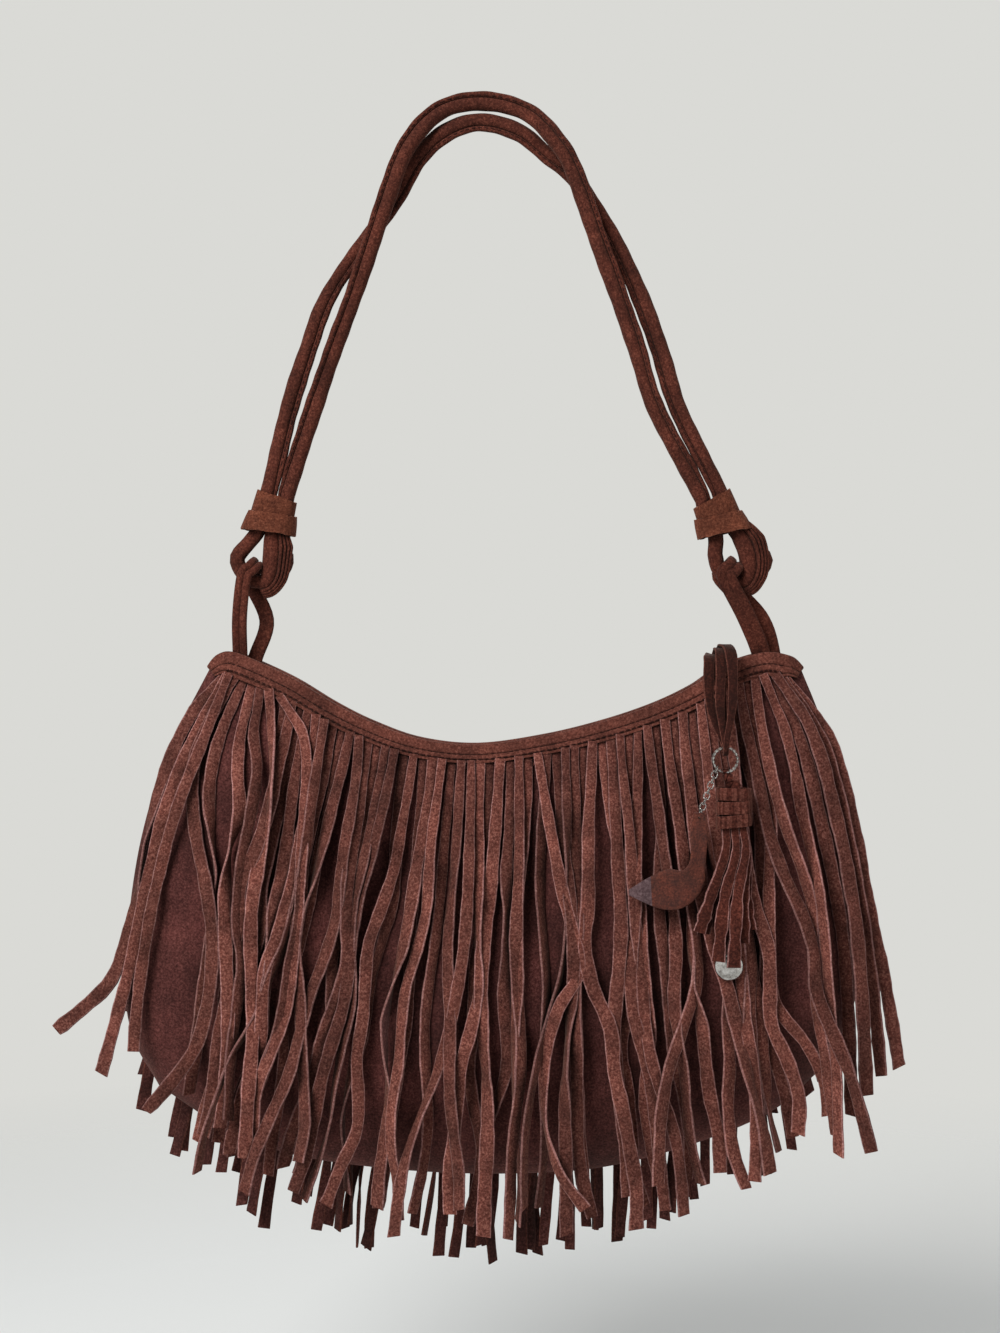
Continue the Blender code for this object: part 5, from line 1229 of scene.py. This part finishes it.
def makeTag():
    # strip that hangs from the hook and turns left into a leaf
    look = {"path": [(-0.6, 2.6), (-0.6, -6.0), (-0.8, -16.0), (-1.8, -24.0), (-4.6, -30.0), (-10.0, -33.6),
                     (-17.0, -35.0), (-25.0, -35.6), (-31.5, -36.0), (-34.6, -36.2)],
            "width": [5.0, 8.2, 8.0, 7.8, 10.0, 16.5, 20.0, 18.0, 11.0, 2.5], "thick": 1.4 * mm, "count": 60,
            "sway": 1.6 * mm, "cup": 0.9 * mm, "tipFrom": 49}
    low, high = boxCorners("end_hook")
    hole = np.array([(low[0] + high[0]) / 2, (low[1] + high[1]) / 2, low[2] + 0.5 * mm])
    s = np.linspace(0, 1, look["count"])
    route = [(x * mm, w * mm, z * mm) for (x, z), w in zip(look["path"], look["width"])]
    line = smoothPath([(x, 0.0, z) for x, _, z in route], look["count"])
    widths = smoothPath(route, look["count"])[:, 1]
    line[:, 1] -= look["sway"] * np.sin(s * 4.2) * s
    section = [(a, 0.5) for a in np.linspace(-0.48, 0.48, 9)] + [(0.5, 0.3), (0.5, -0.3)]
    section += [(a, -0.5) for a in np.linspace(0.48, -0.48, 9)] + [(-0.5, -0.3), (-0.5, 0.3)]
    sides = len(section)
    rings = ribbonRings(line + hole, widths, look["thick"], (0.0, -1.0, 0.0), section=section)
    rings[..., 1] += look["cup"] * np.outer(np.sin(math.pi * s), np.cos(np.linspace(0, 2 * math.pi, sides)))
    store = newStore()
    addSweep(store, rings, [0])
    store["slots"] = [int(i >= sides * look["tipFrom"]) for i in range(len(store["faces"]))]
    makeObject("leafTag", store, [tagNap, tipNap], "tag", ["leaf_tag"], 60.0)


makeDisc()
makeTag()
takeMesh("tassel_head", "tasselHead", tasselNap, "tassel", 0.3 * mm, 2, 0.1 * mm, 5.0)


def makeTasselBand():
    low, high = boxCorners("tassel_band")
    centre = np.array([(low[0] + high[0]) / 2, (low[1] + high[1]) / 2, high[2]])
    halfWide, halfDeep, height = (high - low) * np.array([0.5, 0.5, 1.0])
    store = newStore()
    turns = 3
    for turn in range(turns):
        rings = []
        tilt = 0.07 * (turn - 0.6)
        for share, swell in ((0.03, -0.9), (0.03, -0.1), (0.1, 0.1), (0.5, 0.3), (0.9, 0.1), (0.97, -0.1),
                             (0.97, -0.9)):
            drop = (turn + share) / turns * height
            grown = (swell - 0.3) * mm
            ring = ovalPoints(centre - np.array([0.0, 0.0, drop]), level, deep, halfWide + grown,
                              halfDeep + grown, 64, 0.1 * turn)
            for point in ring:
                point[2] += (point[0] - centre[0]) * tilt
            rings.append(ring)
        addSweep(store, rings, [1, 1, 0, 0, 1, 1, 0], 0.94 + 0.08 * (turn % 2), closed=True)
    makeObject("tasselBand", store, [tasselNap, rimNap], "tassel", ["tassel_band"], 60.0)


makeTasselBand()


def makeTasselStrips():
    look = {"x": 123.8 * mm, "y": -46.0 * mm, "top": -335.5 * mm, "low": -352.0 * mm, "pitchX": 4.1 * mm,
            "pitchY": 2.1 * mm, "width": 3.9 * mm, "thick": 1.3 * mm}
    ends = {(-1, -1): (106.5, -402.0), (0, -1): (115.5, -416.0), (1, -1): (123.0, -419.0),
            (-1, 0): (109.0, -403.0), (0, 0): (117.5, -413.0), (1, 0): (128.5, -408.0),
            (-1, 1): (112.5, -398.0), (0, 1): (122.0, -411.5), (1, 1): (132.0, -402.0)}
    pick = random.Random(5)
    for row in (-1, 0, 1):
        for column in (-1, 0, 1):
            number = 3 * (row + 1) + column + 2
            x, y = look["x"] + column * look["pitchX"], look["y"] + row * look["pitchY"]
            endX, endZ = ends[(column, row)]
            fan = row * 2.6 * mm
            spine = [np.array([x, y, look["low"]]),
                     np.array([x + 2.0 * mm + (endX * mm - x) * 0.2, y + fan * 0.5, look["low"] - 12 * mm]),
                     np.array([x + (endX * mm - x) * 0.62, y + fan, look["low"] - 34 * mm]),
                     np.array([endX * mm, y + fan, endZ * mm])]
            fine = [curvePoint(spine, k / 30) for k in range(31)]
            path = np.array([[x, y, look["top"]], [x, y, look["top"] - 8 * mm]] + fine)
            s = np.linspace(0, 1, len(path))
            uneven = 1 + (0.14 * np.sin(s * 31 + number) + 0.08 * np.sin(s * 67 + number)) * s
            width = look["width"] * (1 + 0.62 * np.clip(s * 1.9 - 0.55, 0, 1)) * uneven
            thick = look["thick"] * (1 + 0.25 * np.sin(s * 43 + number * 2) * s)
            bowed = path.copy()
            bowed[:, 1] += 0.5 * mm * np.sin(s * 9 + number) * s * (1 if number != 8 else 0)
            twist = np.radians(16 * np.sin(s * 5 + number * 1.7)) * np.clip(s * 3 - 0.8, 0, 1)
            if number == 8:
                twist = twist * 0.2
            store = newStore()
            addSweep(store, ribbonRings(bowed, width, thick, (0.0, -1.0, 0.0), twist), flatSlots,
                     pick.uniform(0.85, 1.12), capSlot=1)
            makeObject("tasselStrip%d" % number, store, [tasselNap, strandEdge, tasselNap], "tassel",
                       ["tassel_strip_%d" % number], 60.0)


makeTasselStrips()
print("charms made")


# floor, background and light

studioLook = {
    "floorZ": -0.72, "floorSize": 8.0, "floorColour": (0.76, 0.77, 0.755, 1.0), "ambient": 0.27,
    "ambientColour": (0.97, 0.99, 1.0, 1.0), "backdropColour": (0.701, 0.701, 0.672, 1.0),
    "target": (0.0, 0.0, -0.35),
    "lights": {"keyLight": ((-0.75, -1.15, 0.55), 0.8, 33.0), "fillLight": ((1.1, -1.0, -0.1), 0.9, 3.5),
               "backLight": ((0.3, 1.2, 0.5), 0.9, 9.0)},  # place, size and power
}


def makeFloor():
    # pale floor that fades into the background
    bpy.ops.mesh.primitive_plane_add(size=studioLook["floorSize"], location=(0.0, 0.0, studioLook["floorZ"]))
    floor = bpy.context.object
    floor.name = "studioFloor"
    item, tree, shader, coords = newMaterial("paleFloor")
    setInputs(tree, shader, {"Base Color": studioLook["floorColour"], "Roughness": 0.9,
                             "Specular IOR Level": 0.1})
    centred = addNode(tree, "Mapping", {"Vector": coords, "Scale": (0.9, 0.9, 0.9)})
    fade = addNode(tree, "TexGradient", {"Vector": centred.outputs["Vector"]}, gradient_type="SPHERICAL")
    edge = addNode(tree, "MapRange", {"Value": fade.outputs["Fac"], "From Max": 0.55})
    clear = addNode(tree, "BsdfTransparent")
    blend = addNode(tree, "MixShader", {0: edge.outputs["Result"], 1: clear.outputs["BSDF"],
                                        2: shader.outputs["BSDF"]})
    tree.links.new(blend.outputs["Shader"], tree.nodes["Material Output"].inputs["Surface"])
    floor.data.materials.append(item)


def makeWorld():
    # soft light all round, and a pale backdrop where nothing else is seen
    world = bpy.data.worlds.new("studioWorld")
    scene.world = world
    world.use_nodes = True
    tree = world.node_tree
    tree.nodes.clear()
    soft = addNode(tree, "Background", {"Strength": studioLook["ambient"],
                                        "Color": studioLook["ambientColour"]})
    seen = addNode(tree, "Background", {"Strength": 1.0, "Color": studioLook["backdropColour"]})
    rays = addNode(tree, "LightPath").outputs
    share = rays["Is Camera Ray"]
    for kind in ("Is Glossy Ray", "Is Transmission Ray"):
        share = addNode(tree, "Math", {0: share, 1: rays[kind]}, operation="MAXIMUM").outputs[0]
    mix = addNode(tree, "MixShader", {0: share, 1: soft.outputs[0], 2: seen.outputs[0]})
    addNode(tree, "OutputWorld", {"Surface": mix.outputs[0]})


def makeLights():
    target = Vector(studioLook["target"])
    for name, (place, size, power) in studioLook["lights"].items():
        data = bpy.data.lights.new(name, "AREA")
        data.size = size
        data.energy = power
        light = bpy.data.objects.new(name, data)
        light.location = place
        light.rotation_euler = (target - Vector(place)).to_track_quat("-Z", "Y").to_euler()
        scene.collection.objects.link(light)


makeFloor()
makeWorld()
makeLights()
scene.view_settings.view_transform = "Standard"
print("studio made")
